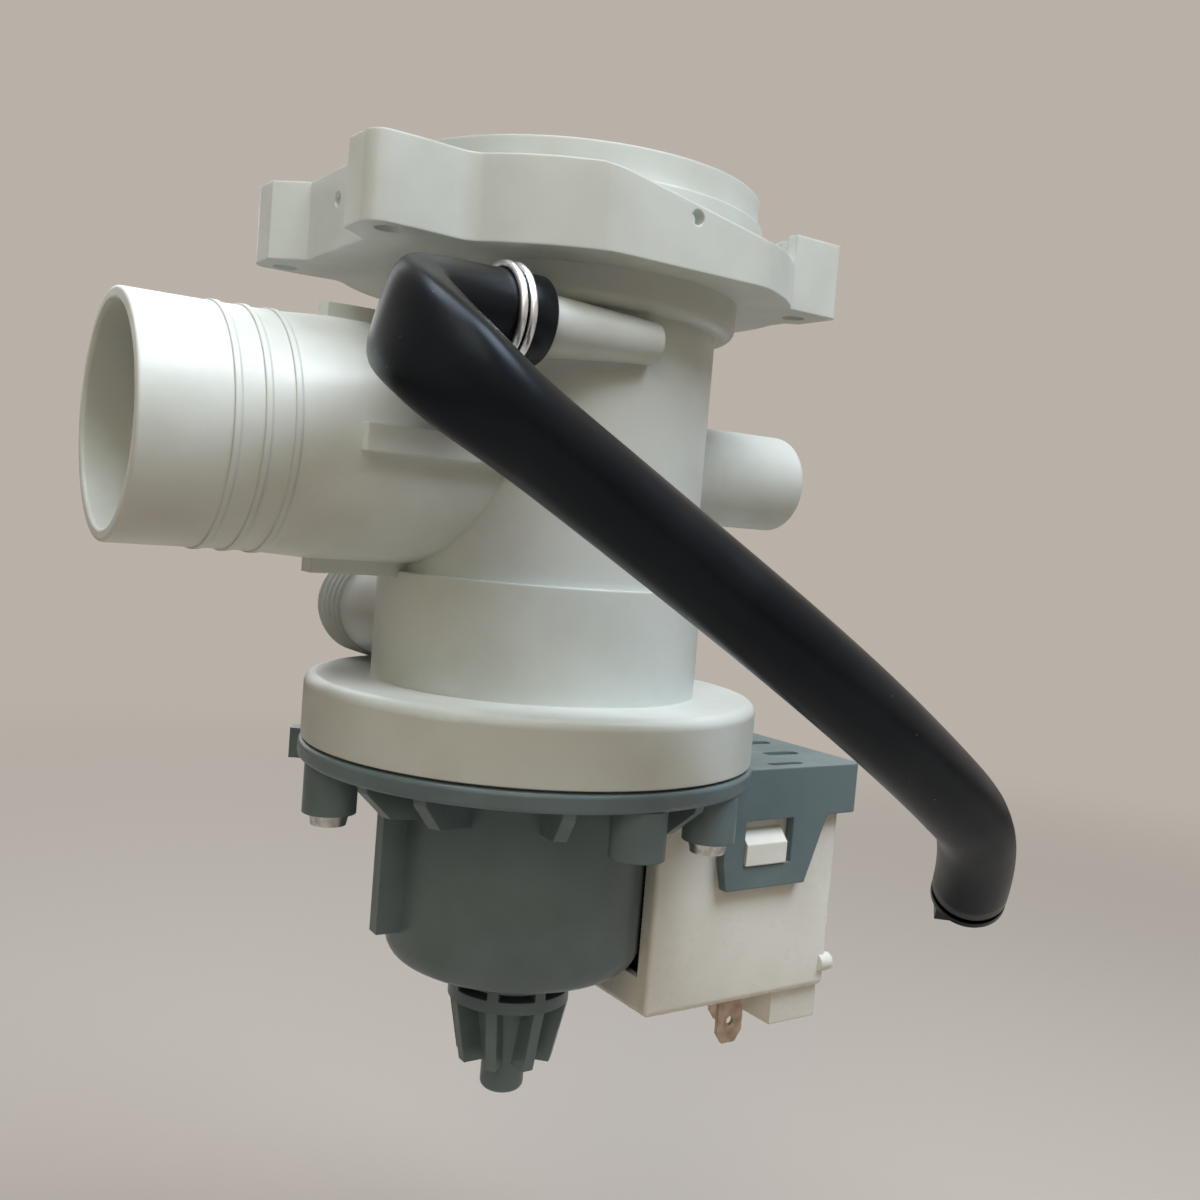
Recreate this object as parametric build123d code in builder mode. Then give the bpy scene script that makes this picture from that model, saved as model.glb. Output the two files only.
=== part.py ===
from build123d import *
import os
from math import cos, pi, radians, sin, tan

os.makedirs("parts", exist_ok=True)

# Drain pump of a washing machine, in millimetres.
# +Z is the pump axis, out of the filter mouth. The inlet spigot points along -X.
# The origin is on the pump axis, in the front plane of the mounting flange.

# Clearances shared by every fit
cut_over = 1.0
seat_gap = 0.1
running_gap = 0.05
free_gap = 0.3

# Housing levels, as lengths along the pump axis
rim_height = 5.2
flange_height = 13.5
neck_length = 6.1
chamber_length = 46.7
volute_length = 19.9
collar_length = 11.4

# Housing radii and walls
rim_radius = 35.0
rim_shoulder = 1.0
mouth_radius = 32.2
neck_radius = 32.5
neck_round = 2.0
seal_bore_radius = 30.0
body_radius = 29.0
body_wall = 2.6
volute_radius = 30.6
volute_wall = 3.0
collar_radius = 42.5
collar_round = 2.0
collar_recess_radius = 33.8
collar_recess_depth = 6.6
mouth_depth = 13.0
divider_thickness = 2.0
divider_drop = 1.3
eye_radius = 9.0

# Mounting flange
flange_radius = 42.4
flange_flat = 39.5
flange_wall = 2.4
flange_floor = 2.6
flange_left = 45.2
left_flat_half = 12.5
ear_left_tip = 50.6
ear_left_inner = 17.3
ear_left_outer = 26.4
ear_right_tip = 42.6
ear_right_root = 31.0
ear_right_inner = 17.0
ear_right_outer = 28.9
right_wall = 40.4
ear_round = 3.2
crease_round = 1.2
wall_round = 8.0
ear_root_round = 4.0
ear_hole_left = 45.6
ear_hole_right = 37.4
ear_hole_y = 22.6
ear_hole_radius = 2.1
ear_pad_radius = 4.4
flange_rib = 1.6
flange_rib_count = 12
vent_hole_radius = 1.25
vent_hole_drop = 5.1
relief_start = -18.0
relief_full = 15.4
relief_end = 31.0
relief_depth = 5.8

# Inlet spigot, along -X
inlet_drop = 44.8
inlet_reach = 79.7
inlet_root_radius = 20.2
inlet_mouth_radius = 19.45
inlet_wall = 2.1
inlet_step = 0.3
inlet_step_width = 0.9
inlet_step_places = (56.8, 61.4, 66.0)
inlet_lip_round = 0.5
rib_start = 46.4
rib_width = 4.4
rib_depth = 2.3
rib_count = 4

# Side stub, along +X
stub_drop = 43.8
stub_reach = 56.7
stub_radius = 9.9
stub_wall = 2.0
stub_round = 1.6
stub_root_radius = 10.6
stub_seat_start = 34.0

# Outlet spigot, along +Y and tangential to the impeller chamber
outlet_drop = 75.5
outlet_offset = 18.0
outlet_reach = 42.0
outlet_radius = 9.5
outlet_wall = 1.9
barb_height = 0.8
barb_pitch = 2.4
barb_count = 5
barb_back_share = 0.6
barb_foot_share = 0.7

# Drain nipple, tangential to the filter chamber and along -X
nipple_drop = 24.5
nipple_offset = 30.0
nipple_radius = 4.6
nipple_boss_radius = 4.75
nipple_boss_far_radius = 3.5
nipple_boss_length = 22.4
nipple_web = 6.0
nipple_length = 13.0
nipple_bore_radius = 2.6
nipple_port_radius = 2.0

# Bayonet ramps of the filter mouth and lugs of the cap
ramp_count = 3
ramp_lead = 24.0
ramp_angle = 95.0
ramp_start_drop = 8.5
ramp_height = 2.0
ramp_depth = 1.7
ramp_bury = 0.2
lug_angle = 16.0
lug_lead_in_angle = 4.0
lug_gap = 0.25

# Filter cap
cap_height = 1.0
cap_radius = 31.6
cap_plate = 3.6
cap_skirt_radius = 29.5
cap_skirt_wall = 2.5
cap_dish_radius = 26.0
cap_dish_depth = 12.2
cap_floor = 2.4
cap_round = 1.0
grip_width = 7.0
grip_taper = 0.8
seal_section = 1.1

# Filter cage
cage_radius = 25.2
cage_wall = 1.6
cage_collar_radius = 26.9
cage_length = 45.0
cage_slot_count = 12
cage_slot_width = 7.6
cage_band = 3.0
cage_window_radius = 15.5
cage_floor = 1.6
cage_drain_radius = 1.75
cage_drain_circle = 15.0
cage_drain_count = 8

# Motor housing
ring_radius = 42.9
ring_thickness = 3.9
ring_round = 0.9
ring_joint_gap = 0.5
ring_joint_depth = 1.0
spigot_height = 4.0
spigot_wall = 4.2
can_radius = 24.5
can_wall = 2.0
can_length = 37.5
can_round = 4.2
pocket_round = 3.0
well_radius = 13.0
well_wall = 1.4
well_floor = 6.0
boss_radius = 4.8
boss_circle_radius = 37.8
boss_length = 8.5
screw_angles = (-59.0, 57.0, 173.5)
plain_boss_angles = (-90.5, 120.0)
gusset_angles = (-161.5, -145.0, -111.0, -75.0, 150.0, 105.0, 75.0)
gusset_thickness = 2.2
gusset_rim_depth = 0.9
gusset_can_depth = 5.8
fin_angles = (178.0, 130.0)
fin_reach = 29.0
fin_thickness = 3.2
fin_length = 30.5
key_lug_angle = 150.0
key_lug_reach = 44.6
key_lug_width = 4.0
key_lug_height = 5.6

# Motor nose
nose_radius = 12.0
nose_ring_height = 4.0
nose_core_radius = 8.6
nose_core_top_radius = 7.6
nose_window = 1.6
nose_band_radius = 11.7
nose_band_height = 2.4
blade_count = 8
blade_thickness = 2.2
blade_length = 12.0
blade_tip_radius = 9.2
pin_radius = 4.2
nose_length = 26.7
pin_round = 1.4
core_tip_radius = 5.0

# Coil bracket and latches
bracket_drop = 2.4
bracket_reach = 66.5
bracket_half_width = 24.0
bracket_height = 10.0
bracket_wall = 2.0
bracket_root = 37.0
bracket_round = 2.4
bracket_slot_width = 3.0
bracket_slot_pitch = 11.0
bracket_edge_slot_width = 2.0
bracket_slot_length = 9.0
latch_left = 31.0
latch_top_right = 57.5
latch_bottom_left = 32.3
latch_bottom_right = 52.6
latch_bottom_drop = 25.9
latch_bar = 4.6
latch_corner_rise = 5.5
latch_leg = 6.6
window_left = 36.0
window_right = 48.4
window_top_drop = 11.7

# Stator, coils and coil cover
stack_height = 20.0
stack_top_drop = 18.4
arm_inner = 7.5
arm_outer = 16.5
core_reach = 57.0
yoke_width = 9.0
pole_radius = 20.5
pole_gap_half = 6.0
pole_bore_gap = 0.3
arm_start = 10.0
bobbin_start = 26.0
bobbin_length = 20.0
bobbin_wall = 0.8
bobbin_flange = 0.8
winding_depth = 2.4
winding_round = 1.5
cover_left = 17.0
cover_right = 63.0
cover_half_width = 21.8
cover_height = 44.9
cover_wall = 1.5
cover_round = 1.6
cover_can_gap = 0.5
nub_width = 10.4
nub_depth = 2.6
nub_height = 5.5
nub_ramp = 2.7
nub_right_gap = 1.6
stud_radius = 1.9
stud_height = 1.8
stud_round = 0.9
stud_rise = 5.0
stud_inset = 0.7
shroud_left = 50.3
shroud_right = 62.6
shroud_depth = 12.0
shroud_height = 6.8
shroud_wall = 1.3
spade_width = 6.3
spade_thickness = 0.8
spade_drop = 9.0
spade_rise = 6.0
spade_point = 2.2
spade_left = 37.0
spade_front = 19.3
spade_pitch = 10.0
spade_stagger = 6.5
spade_hole_radius = 0.9
cutout_length = 12.0
cutout_side = 7.8

# Rotor, bearings and impeller
shaft_radius = 1.5
magnet_radius = 12.0
magnet_bore_radius = 4.0
magnet_length = 23.0
sleeve_cap = 1.2
washer_radius = 4.5
washer_thickness = 0.8
bearing_radius = 4.0
bearing_length = 4.6
grommet_radius = 6.0
plate_thickness = 4.2
plate_lip = 1.0
plate_lip_radius = 16.0
impeller_radius = 21.5
impeller_gap = 0.6
impeller_disc = 1.6
vane_count = 6
vane_thickness = 1.8
vane_top_drop = 76.0
hub_radius = 8.6
hub_floor = 3.4
cavity_radius = 6.6
dog_hub_radius = 3.2
dog_arm_radius = 6.1
dog_angle = 30.0
dog_height = 6.6
lid_thickness = 2.0

# Screws and seals
screw_radius = 1.75
screw_length = 17.5
screw_head_radius = 3.6
screw_head_height = 2.2
screw_head_taper = 12.0
screw_slot_width = 0.9
screw_slot_depth = 1.0
housing_seal_section = 1.2
housing_seal_radius = 31.9

# Drain hose, clamp and stopper
hose_radius = 7.0
hose_bore_radius = 4.7
arc_share = 0.45
clamp_wire_radius = 0.65
clamp_spacing = 1.75
clamp_angle = 290.0
clamp_back = 5.6
clamp_tang = 5.0
clamp_start_angle = 130.0
stopper_shank = 6.5
stopper_head = 2.8
stopper_groove = 0.8
stopper_bevel = 0.8
stopper_tab_width = 6.0
stopper_tab_thickness = 3.2
stopper_tab_length = 6.0
stopper_tab_shift = 2.4
hose_route = (
    (-22.8, -30.0, -24.5),
    (-48.6, -30.0, -24.5),
    (-49.8, -53.0, -36.2),
    (-19.7, -52.1, -52.1),
    (16.0, -63.2, -76.6),
    (45.7, -62.4, -95.2),
    (63.1, -58.1, -106.0),
    (70.9, -49.9, -119.3),
)

# Levels worked out from the lengths
z_flange = -flange_height
z_neck = z_flange - neck_length
z_ledge = z_neck - chamber_length
z_collar = z_ledge - volute_length
z_joint = z_collar - collar_length
z_ring = z_joint - ring_thickness
z_can = z_ring - can_length
z_divider = z_ledge - divider_drop
body_bore_radius = body_radius - body_wall
volute_bore_radius = volute_radius - volute_wall


def save(piece, name):
    piece.part.label = name
    export_step(piece.part, f"parts/{name}.step")
    print(f"{name}: {piece.part.volume:.0f} mm3")


def profile(*points, plane=Plane.XZ):
    """The face inside the closed outline through points, drawn on the plane."""
    with BuildSketch(plane) as face:
        with BuildLine():
            Polyline(*points, close=True)
        make_face()
    return face.sketch


def helical_rib(radius, depth, height, start_angle, span, z_start):
    """One rib of rectangular section that climbs along a screw of ramp_lead."""
    climb = ramp_lead * span / 360
    track = Helix(pitch=ramp_lead, height=climb, radius=radius)
    track = track.moved(Location((0, 0, z_start), (0, 0, start_angle)))
    outwards = (cos(radians(start_angle)), sin(radians(start_angle)), 0)
    section = Plane(origin=track @ 0, x_dir=outwards, z_dir=track % 0)
    return sweep(section * Rectangle(depth, height), path=track, is_frenet=True, mode=Mode.PRIVATE)


# Pump housing, flange outline
# The round plate is cut flat at the sides, drawn out to a flat wall at the inlet side,
# and has four ears. Each outline below is half of a pair, so the mirror makes the rest.
with BuildSketch() as flange_outline:
    Circle(flange_radius)
    Rectangle(2 * ear_left_tip, 2 * flange_flat, mode=Mode.INTERSECT)
    with BuildLine():
        Polyline(
            (0, -left_flat_half),
            (-flange_left, -left_flat_half),
            (-ear_left_tip, -ear_left_inner),
            (-ear_left_tip, -ear_left_outer),
            (-flange_left + ear_round, -ear_left_outer),
            (0, -ear_left_outer + ear_round),
            close=True,
        )
    make_face()
    with BuildLine():
        Polyline(
            (0, 0),
            (-flange_left, 0),
            (-flange_left, -left_flat_half),
            (0, -left_flat_half),
            close=True,
        )
    make_face()
    with BuildLine():
        Polyline(
            (0, 0),
            (right_wall, 0),
            (right_wall, -ear_right_inner),
            (ear_right_tip, -ear_right_inner - ear_round / 2),
            (ear_right_tip, -ear_right_outer),
            (ear_right_root, -ear_right_outer),
            (0, 0),
        )
    make_face()
    mirror(about=Plane.XZ)
    tips = flange_outline.vertices().filter_by(
        lambda v: abs(v.Y) > flange_flat / 2 and v.X < -ear_left_tip + seat_gap
    )
    fillet(tips, ear_round)
    far_tips = flange_outline.vertices().filter_by(lambda v: v.X > ear_right_tip - seat_gap)
    fillet(far_tips, crease_round)
    creases = flange_outline.vertices().filter_by(lambda v: abs(abs(v.Y) - flange_flat) < seat_gap)
    fillet(creases, wall_round)
    ear_roots = flange_outline.vertices().filter_by(
        lambda v: -flange_radius < v.X < -rim_radius / 2 and ear_left_inner < abs(v.Y) < ear_left_outer
    )
    fillet(ear_roots, ear_root_round)

ear_places = (
    (-ear_hole_left, -ear_hole_y),
    (-ear_hole_left, ear_hole_y),
    (ear_hole_right, -ear_hole_y),
    (ear_hole_right, ear_hole_y),
)
screw_places = tuple(
    (boss_circle_radius * cos(radians(angle)), boss_circle_radius * sin(radians(angle)))
    for angle in screw_angles
)

# Ramps of the filter mouth, each above the lug that it holds down
ramps = [
    helical_rib(
        mouth_radius + ramp_bury - ramp_depth / 2 - ramp_bury / 2,
        ramp_depth + ramp_bury,
        ramp_height,
        index * 360 / ramp_count,
        ramp_angle,
        -ramp_start_drop,
    )
    for index in range(ramp_count)
]

with BuildPart() as pump_housing:
    with BuildSketch(Plane.XY.offset(z_flange)):
        add(flange_outline.sketch)
    extrude(amount=flange_height)
    with BuildSketch(Plane.XY.offset(z_flange + flange_floor)):
        add(flange_outline.sketch)
        offset(amount=-flange_wall, kind=Kind.INTERSECTION, mode=Mode.REPLACE)
        Circle(rim_radius + rim_shoulder, mode=Mode.SUBTRACT)
        with Locations(*ear_places):
            Circle(ear_pad_radius, mode=Mode.SUBTRACT)
        with PolarLocations(0, flange_rib_count, start_angle=180 / flange_rib_count):
            with Locations((flange_radius, 0)):
                Rectangle(2 * flange_radius, flange_rib, mode=Mode.SUBTRACT)
    extrude(amount=flange_height, mode=Mode.SUBTRACT)
    # turned outer form, from the rim down to the collar
    revolve(
        profile(
            (0, rim_height),
            (rim_radius, rim_height),
            (rim_radius, 0),
            (rim_radius + rim_shoulder, 0),
            (rim_radius + rim_shoulder, z_flange),
            (neck_radius, z_flange),
            (neck_radius, z_neck),
            (body_radius, z_neck),
            (body_radius, z_ledge),
            (volute_radius, z_ledge),
            (volute_radius, z_collar),
            (collar_radius, z_collar),
            (collar_radius, z_joint),
            (0, z_joint),
        ),
        axis=Axis.Z,
    )
    collar_edge = pump_housing.edges().filter_by(GeomType.CIRCLE).filter_by(
        lambda e: abs(e.radius - collar_radius) < seat_gap and abs(e.center().Z - z_collar) < seat_gap
    )
    fillet(collar_edge, collar_round)
    neck_edge = pump_housing.edges().filter_by(GeomType.CIRCLE).filter_by(
        lambda e: abs(e.radius - neck_radius) < seat_gap and abs(e.center().Z - z_neck) < seat_gap
    )
    fillet(neck_edge, neck_round)
    # inlet spigot with its fine stop rings
    inlet_line = [(-inlet_reach, -inlet_drop), (-inlet_reach, inlet_mouth_radius - inlet_drop)]
    for place in reversed(inlet_step_places):
        share = (max(inlet_step_places) - place) / max(inlet_step_places)
        here = inlet_mouth_radius + (inlet_root_radius - inlet_mouth_radius) * share - inlet_drop
        inlet_line += [
            (-place, here),
            (-place, here + inlet_step),
            (-place + inlet_step_width, here + inlet_step),
            (-place + inlet_step_width + inlet_step, here),
        ]
    inlet_line += [
        (-rib_start, inlet_root_radius - inlet_drop),
        (-body_bore_radius / 2, inlet_root_radius - inlet_drop),
        (-body_bore_radius / 2, -inlet_drop),
    ]
    inlet_axis = Axis((0, 0, -inlet_drop), (1, 0, 0))
    revolve(profile(*inlet_line), axis=inlet_axis)
    # four ribs along the spigot root
    with BuildSketch(Plane.YZ.offset(-rib_start)):
        with Locations((0, -inlet_drop)):
            with PolarLocations(inlet_root_radius + rib_depth / 2 - cut_over / 2, rib_count):
                Rectangle(rib_depth + cut_over, rib_width)
    extrude(amount=rib_start - body_bore_radius / 2)
    # side stub, a little wider at its root
    stub_axis = Axis((0, 0, -stub_drop), (1, 0, 0))
    revolve(
        profile(
            (body_bore_radius / 2, -stub_drop),
            (body_bore_radius / 2, stub_root_radius - stub_drop),
            (body_bore_radius, stub_root_radius - stub_drop),
            (stub_seat_start, stub_radius - stub_drop),
            (stub_reach, stub_radius - stub_drop),
            (stub_reach, -stub_drop),
        ),
        axis=stub_axis,
    )
    stub_end = pump_housing.edges().filter_by(GeomType.CIRCLE).sort_by(Axis.X)[-1]
    fillet(stub_end, stub_round)
    # outlet spigot with its barbs
    barb_line = [(0, -outlet_drop), (0, outlet_radius - outlet_drop)]
    barb_start = outlet_reach - barb_count * barb_pitch
    for index in range(barb_count):
        y_barb = barb_start + index * barb_pitch
        barb_line += [
            (y_barb, outlet_radius - outlet_drop),
            (y_barb, outlet_radius + barb_height - outlet_drop),
            (y_barb + barb_pitch * barb_back_share, outlet_radius + barb_height / 2 - outlet_drop),
            (y_barb + barb_pitch * barb_foot_share, outlet_radius - outlet_drop),
        ]
    barb_line += [(outlet_reach, outlet_radius - outlet_drop), (outlet_reach, -outlet_drop)]
    outlet_axis = Axis((-outlet_offset, 0, -outlet_drop), (0, 1, 0))
    revolve(profile(*barb_line, plane=Plane.YZ.offset(-outlet_offset)), axis=outlet_axis)
    # drain nipple and the boss that carries it along the chamber wall
    with BuildSketch(Plane.YZ):
        with Locations((-nipple_offset + nipple_web / 2, -nipple_drop)):
            SlotCenterToCenter(nipple_web, 2 * nipple_boss_far_radius)
    with BuildSketch(Plane.YZ.offset(-nipple_boss_length)):
        with Locations((-nipple_offset + nipple_web / 2, -nipple_drop)):
            SlotCenterToCenter(nipple_web, 2 * nipple_boss_radius)
    loft()
    with BuildSketch(Plane.YZ.offset(-nipple_boss_length)):
        with Locations((-nipple_offset, -nipple_drop)):
            Circle(nipple_radius)
    extrude(amount=-nipple_length)
    # mouth, filter chamber, impeller chamber and collar recess
    revolve(
        profile(
            (0, rim_height + cut_over),
            (mouth_radius, rim_height + cut_over),
            (mouth_radius, -mouth_depth),
            (seal_bore_radius, -mouth_depth),
            (seal_bore_radius, z_neck + flange_floor),
            (body_bore_radius, z_neck + flange_floor),
            (body_bore_radius, z_divider + divider_thickness),
            (eye_radius, z_divider + divider_thickness),
            (eye_radius, z_divider),
            (volute_bore_radius, z_divider),
            (volute_bore_radius, z_joint + collar_recess_depth),
            (collar_recess_radius, z_joint + collar_recess_depth),
            (collar_recess_radius, z_joint - cut_over),
            (0, z_joint - cut_over),
        ),
        axis=Axis.Z,
        mode=Mode.SUBTRACT,
    )
    # bores of the spigots
    with BuildSketch(Plane.YZ.offset(-inlet_reach - cut_over)):
        with Locations((0, -inlet_drop)):
            Circle(inlet_mouth_radius - inlet_wall)
    extrude(amount=inlet_reach, mode=Mode.SUBTRACT)
    lip = pump_housing.edges().filter_by(GeomType.CIRCLE).group_by(Axis.X)[0]
    fillet(lip, inlet_lip_round)
    with BuildSketch(Plane.YZ.offset(stub_reach + cut_over)):
        with Locations((0, -stub_drop)):
            Circle(stub_radius - stub_wall)
    extrude(amount=-stub_reach + body_bore_radius / 2, mode=Mode.SUBTRACT)
    with BuildSketch(Plane.XZ.offset(-outlet_reach - cut_over)):
        with Locations((-outlet_offset, -outlet_drop)):
            Circle(outlet_radius - outlet_wall)
    extrude(amount=outlet_reach, mode=Mode.SUBTRACT)
    with BuildSketch(Plane.YZ.offset(-nipple_boss_length - nipple_length - cut_over)):
        with Locations((-nipple_offset, -nipple_drop)):
            Circle(nipple_bore_radius)
    extrude(amount=nipple_boss_length + nipple_length - nipple_port_radius, mode=Mode.SUBTRACT)
    with BuildSketch(Plane.XZ.offset(nipple_offset)):
        with Locations((-nipple_boss_radius, -nipple_drop)):
            Circle(nipple_port_radius)
    extrude(amount=-nipple_offset / 2, mode=Mode.SUBTRACT)
    # screw holes of the ears, pilot holes of the collar and drain holes of the flange wall
    with BuildSketch(Plane.XY.offset(z_flange - cut_over)):
        with Locations(*ear_places):
            Circle(ear_hole_radius)
    extrude(amount=flange_height + 2 * cut_over, mode=Mode.SUBTRACT)
    with BuildSketch(Plane.XY.offset(z_joint - cut_over)):
        with Locations(*screw_places):
            Circle(screw_radius + seat_gap / 2)
    extrude(amount=collar_length - collar_round, mode=Mode.SUBTRACT)
    for side_plane in (Plane.YZ, Plane.XZ):
        with BuildSketch(side_plane.offset(rim_radius + rim_shoulder + cut_over)):
            with Locations((0, -vent_hole_drop)):
                Circle(vent_hole_radius)
        extrude(amount=flange_height, mode=Mode.SUBTRACT)
        with BuildSketch(side_plane.offset(-rim_radius - rim_shoulder - cut_over)):
            with Locations((0, -vent_hole_drop)):
                Circle(vent_hole_radius)
        extrude(amount=-flange_height, mode=Mode.SUBTRACT)
    # sloping relief in the top of the flange wall, ahead of the right ears
    with BuildSketch(Plane.XY) as outside_rim:
        Rectangle(4 * flange_radius, 4 * flange_radius)
        Circle(rim_radius + rim_shoulder, mode=Mode.SUBTRACT)
    with BuildSketch(Plane.XZ.offset(-2 * flange_radius)) as relief:
        with BuildLine():
            Polyline(
                (relief_start, 0),
                (relief_full, -relief_depth),
                (relief_end, -relief_depth),
                (relief_end, cut_over),
                (relief_start, cut_over),
                close=True,
            )
        make_face()
    relief_bar = extrude(relief.sketch, amount=4 * flange_radius, mode=Mode.PRIVATE)
    relief_ring = extrude(
        outside_rim.sketch, amount=relief_depth + cut_over, both=True, mode=Mode.PRIVATE
    )
    add(relief_bar & relief_ring, mode=Mode.SUBTRACT)
    for ramp in ramps:
        add(ramp)
save(pump_housing, "pump_housing")

# Filter cap, a dished screw cap with a grip bar, a seal groove and three lugs
z_cap = rim_height + cap_height
z_cap_floor = z_cap - cap_dish_depth
z_skirt = z_neck + flange_floor + free_gap
seal_middle = seal_bore_radius - running_gap - seal_section
groove_bottom = z_skirt + cap_plate / 4
groove_top = groove_bottom + 2 * (seal_section + running_gap)
z_lug = -ramp_start_drop - ramp_height - lug_gap + ramp_lead * lug_lead_in_angle / 360
lug_depth = mouth_radius - free_gap - cap_skirt_radius
lugs = [
    helical_rib(
        cap_skirt_radius + lug_depth / 2 - ramp_bury / 2,
        lug_depth + ramp_bury,
        ramp_height,
        index * 360 / ramp_count + lug_lead_in_angle,
        lug_angle,
        z_lug,
    )
    for index in range(ramp_count)
]
with BuildPart() as filter_cap:
    revolve(
        profile(
            (0, z_cap_floor),
            (cap_dish_radius - grip_taper, z_cap_floor),
            (cap_dish_radius, z_cap),
            (cap_radius, z_cap),
            (cap_radius, z_cap - cap_plate),
            (cap_skirt_radius, z_cap - cap_plate),
            (cap_skirt_radius, groove_top),
            (seal_middle - seal_section - running_gap, groove_top),
            (seal_middle - seal_section - running_gap, groove_bottom),
            (cap_skirt_radius, groove_bottom),
            (cap_skirt_radius, z_skirt),
            (cap_skirt_radius - cap_skirt_wall, z_skirt),
            (cap_skirt_radius - cap_skirt_wall, z_cap_floor - cap_floor),
            (0, z_cap_floor - cap_floor),
        ),
        axis=Axis.Z,
    )
    cap_edge = filter_cap.edges().filter_by(GeomType.CIRCLE).filter_by(
        lambda e: abs(e.radius - cap_radius) < seat_gap and abs(e.center().Z - z_cap) < seat_gap
    )
    fillet(cap_edge, cap_round)
    with BuildSketch(Plane.XY.offset(z_cap_floor - cap_floor / 2)):
        Rectangle(2 * cap_dish_radius + cap_round, grip_width)
    extrude(amount=cap_dish_depth - cap_height + cap_floor / 2)
    for lug in lugs:
        add(lug)
save(filter_cap, "filter_cap")

with BuildPart() as filter_seal:
    with BuildSketch(Plane.XZ):
        with Locations((seal_middle, (groove_bottom + groove_top) / 2)):
            Circle(seal_section)
    revolve(axis=Axis.Z)
save(filter_seal, "filter_seal")

# Filter cage, a slotted basket clipped into the cap, open towards the inlet
z_cage_top = z_cap_floor - cap_floor
z_cage = z_skirt - cage_length
with BuildPart() as filter_cage:
    revolve(
        profile(
            (cage_radius - cage_wall, z_cage_top),
            (cage_collar_radius, z_cage_top),
            (cage_collar_radius, z_skirt),
            (cage_radius, z_skirt),
            (cage_radius, z_cage),
            (cage_radius - cage_wall, z_cage),
        ),
        axis=Axis.Z,
    )
    with BuildSketch(Plane.XY.offset(z_cage + cage_band)):
        with PolarLocations(cage_radius, cage_slot_count, start_angle=180 / cage_slot_count):
            Rectangle(4 * cage_wall, cage_slot_width)
    extrude(amount=cage_length - 2 * cage_band, mode=Mode.SUBTRACT)
    with BuildSketch(Plane.XY.offset(z_cage)):
        Circle(cage_radius - cage_wall / 2)
        with PolarLocations(cage_drain_circle, cage_drain_count):
            Circle(cage_drain_radius, mode=Mode.SUBTRACT)
    extrude(amount=cage_floor)
    with BuildSketch(Plane.YZ):
        with Locations((0, -inlet_drop)):
            Circle(cage_window_radius)
    extrude(amount=-2 * cage_radius, mode=Mode.SUBTRACT)
save(filter_cage, "filter_cage")

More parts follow.
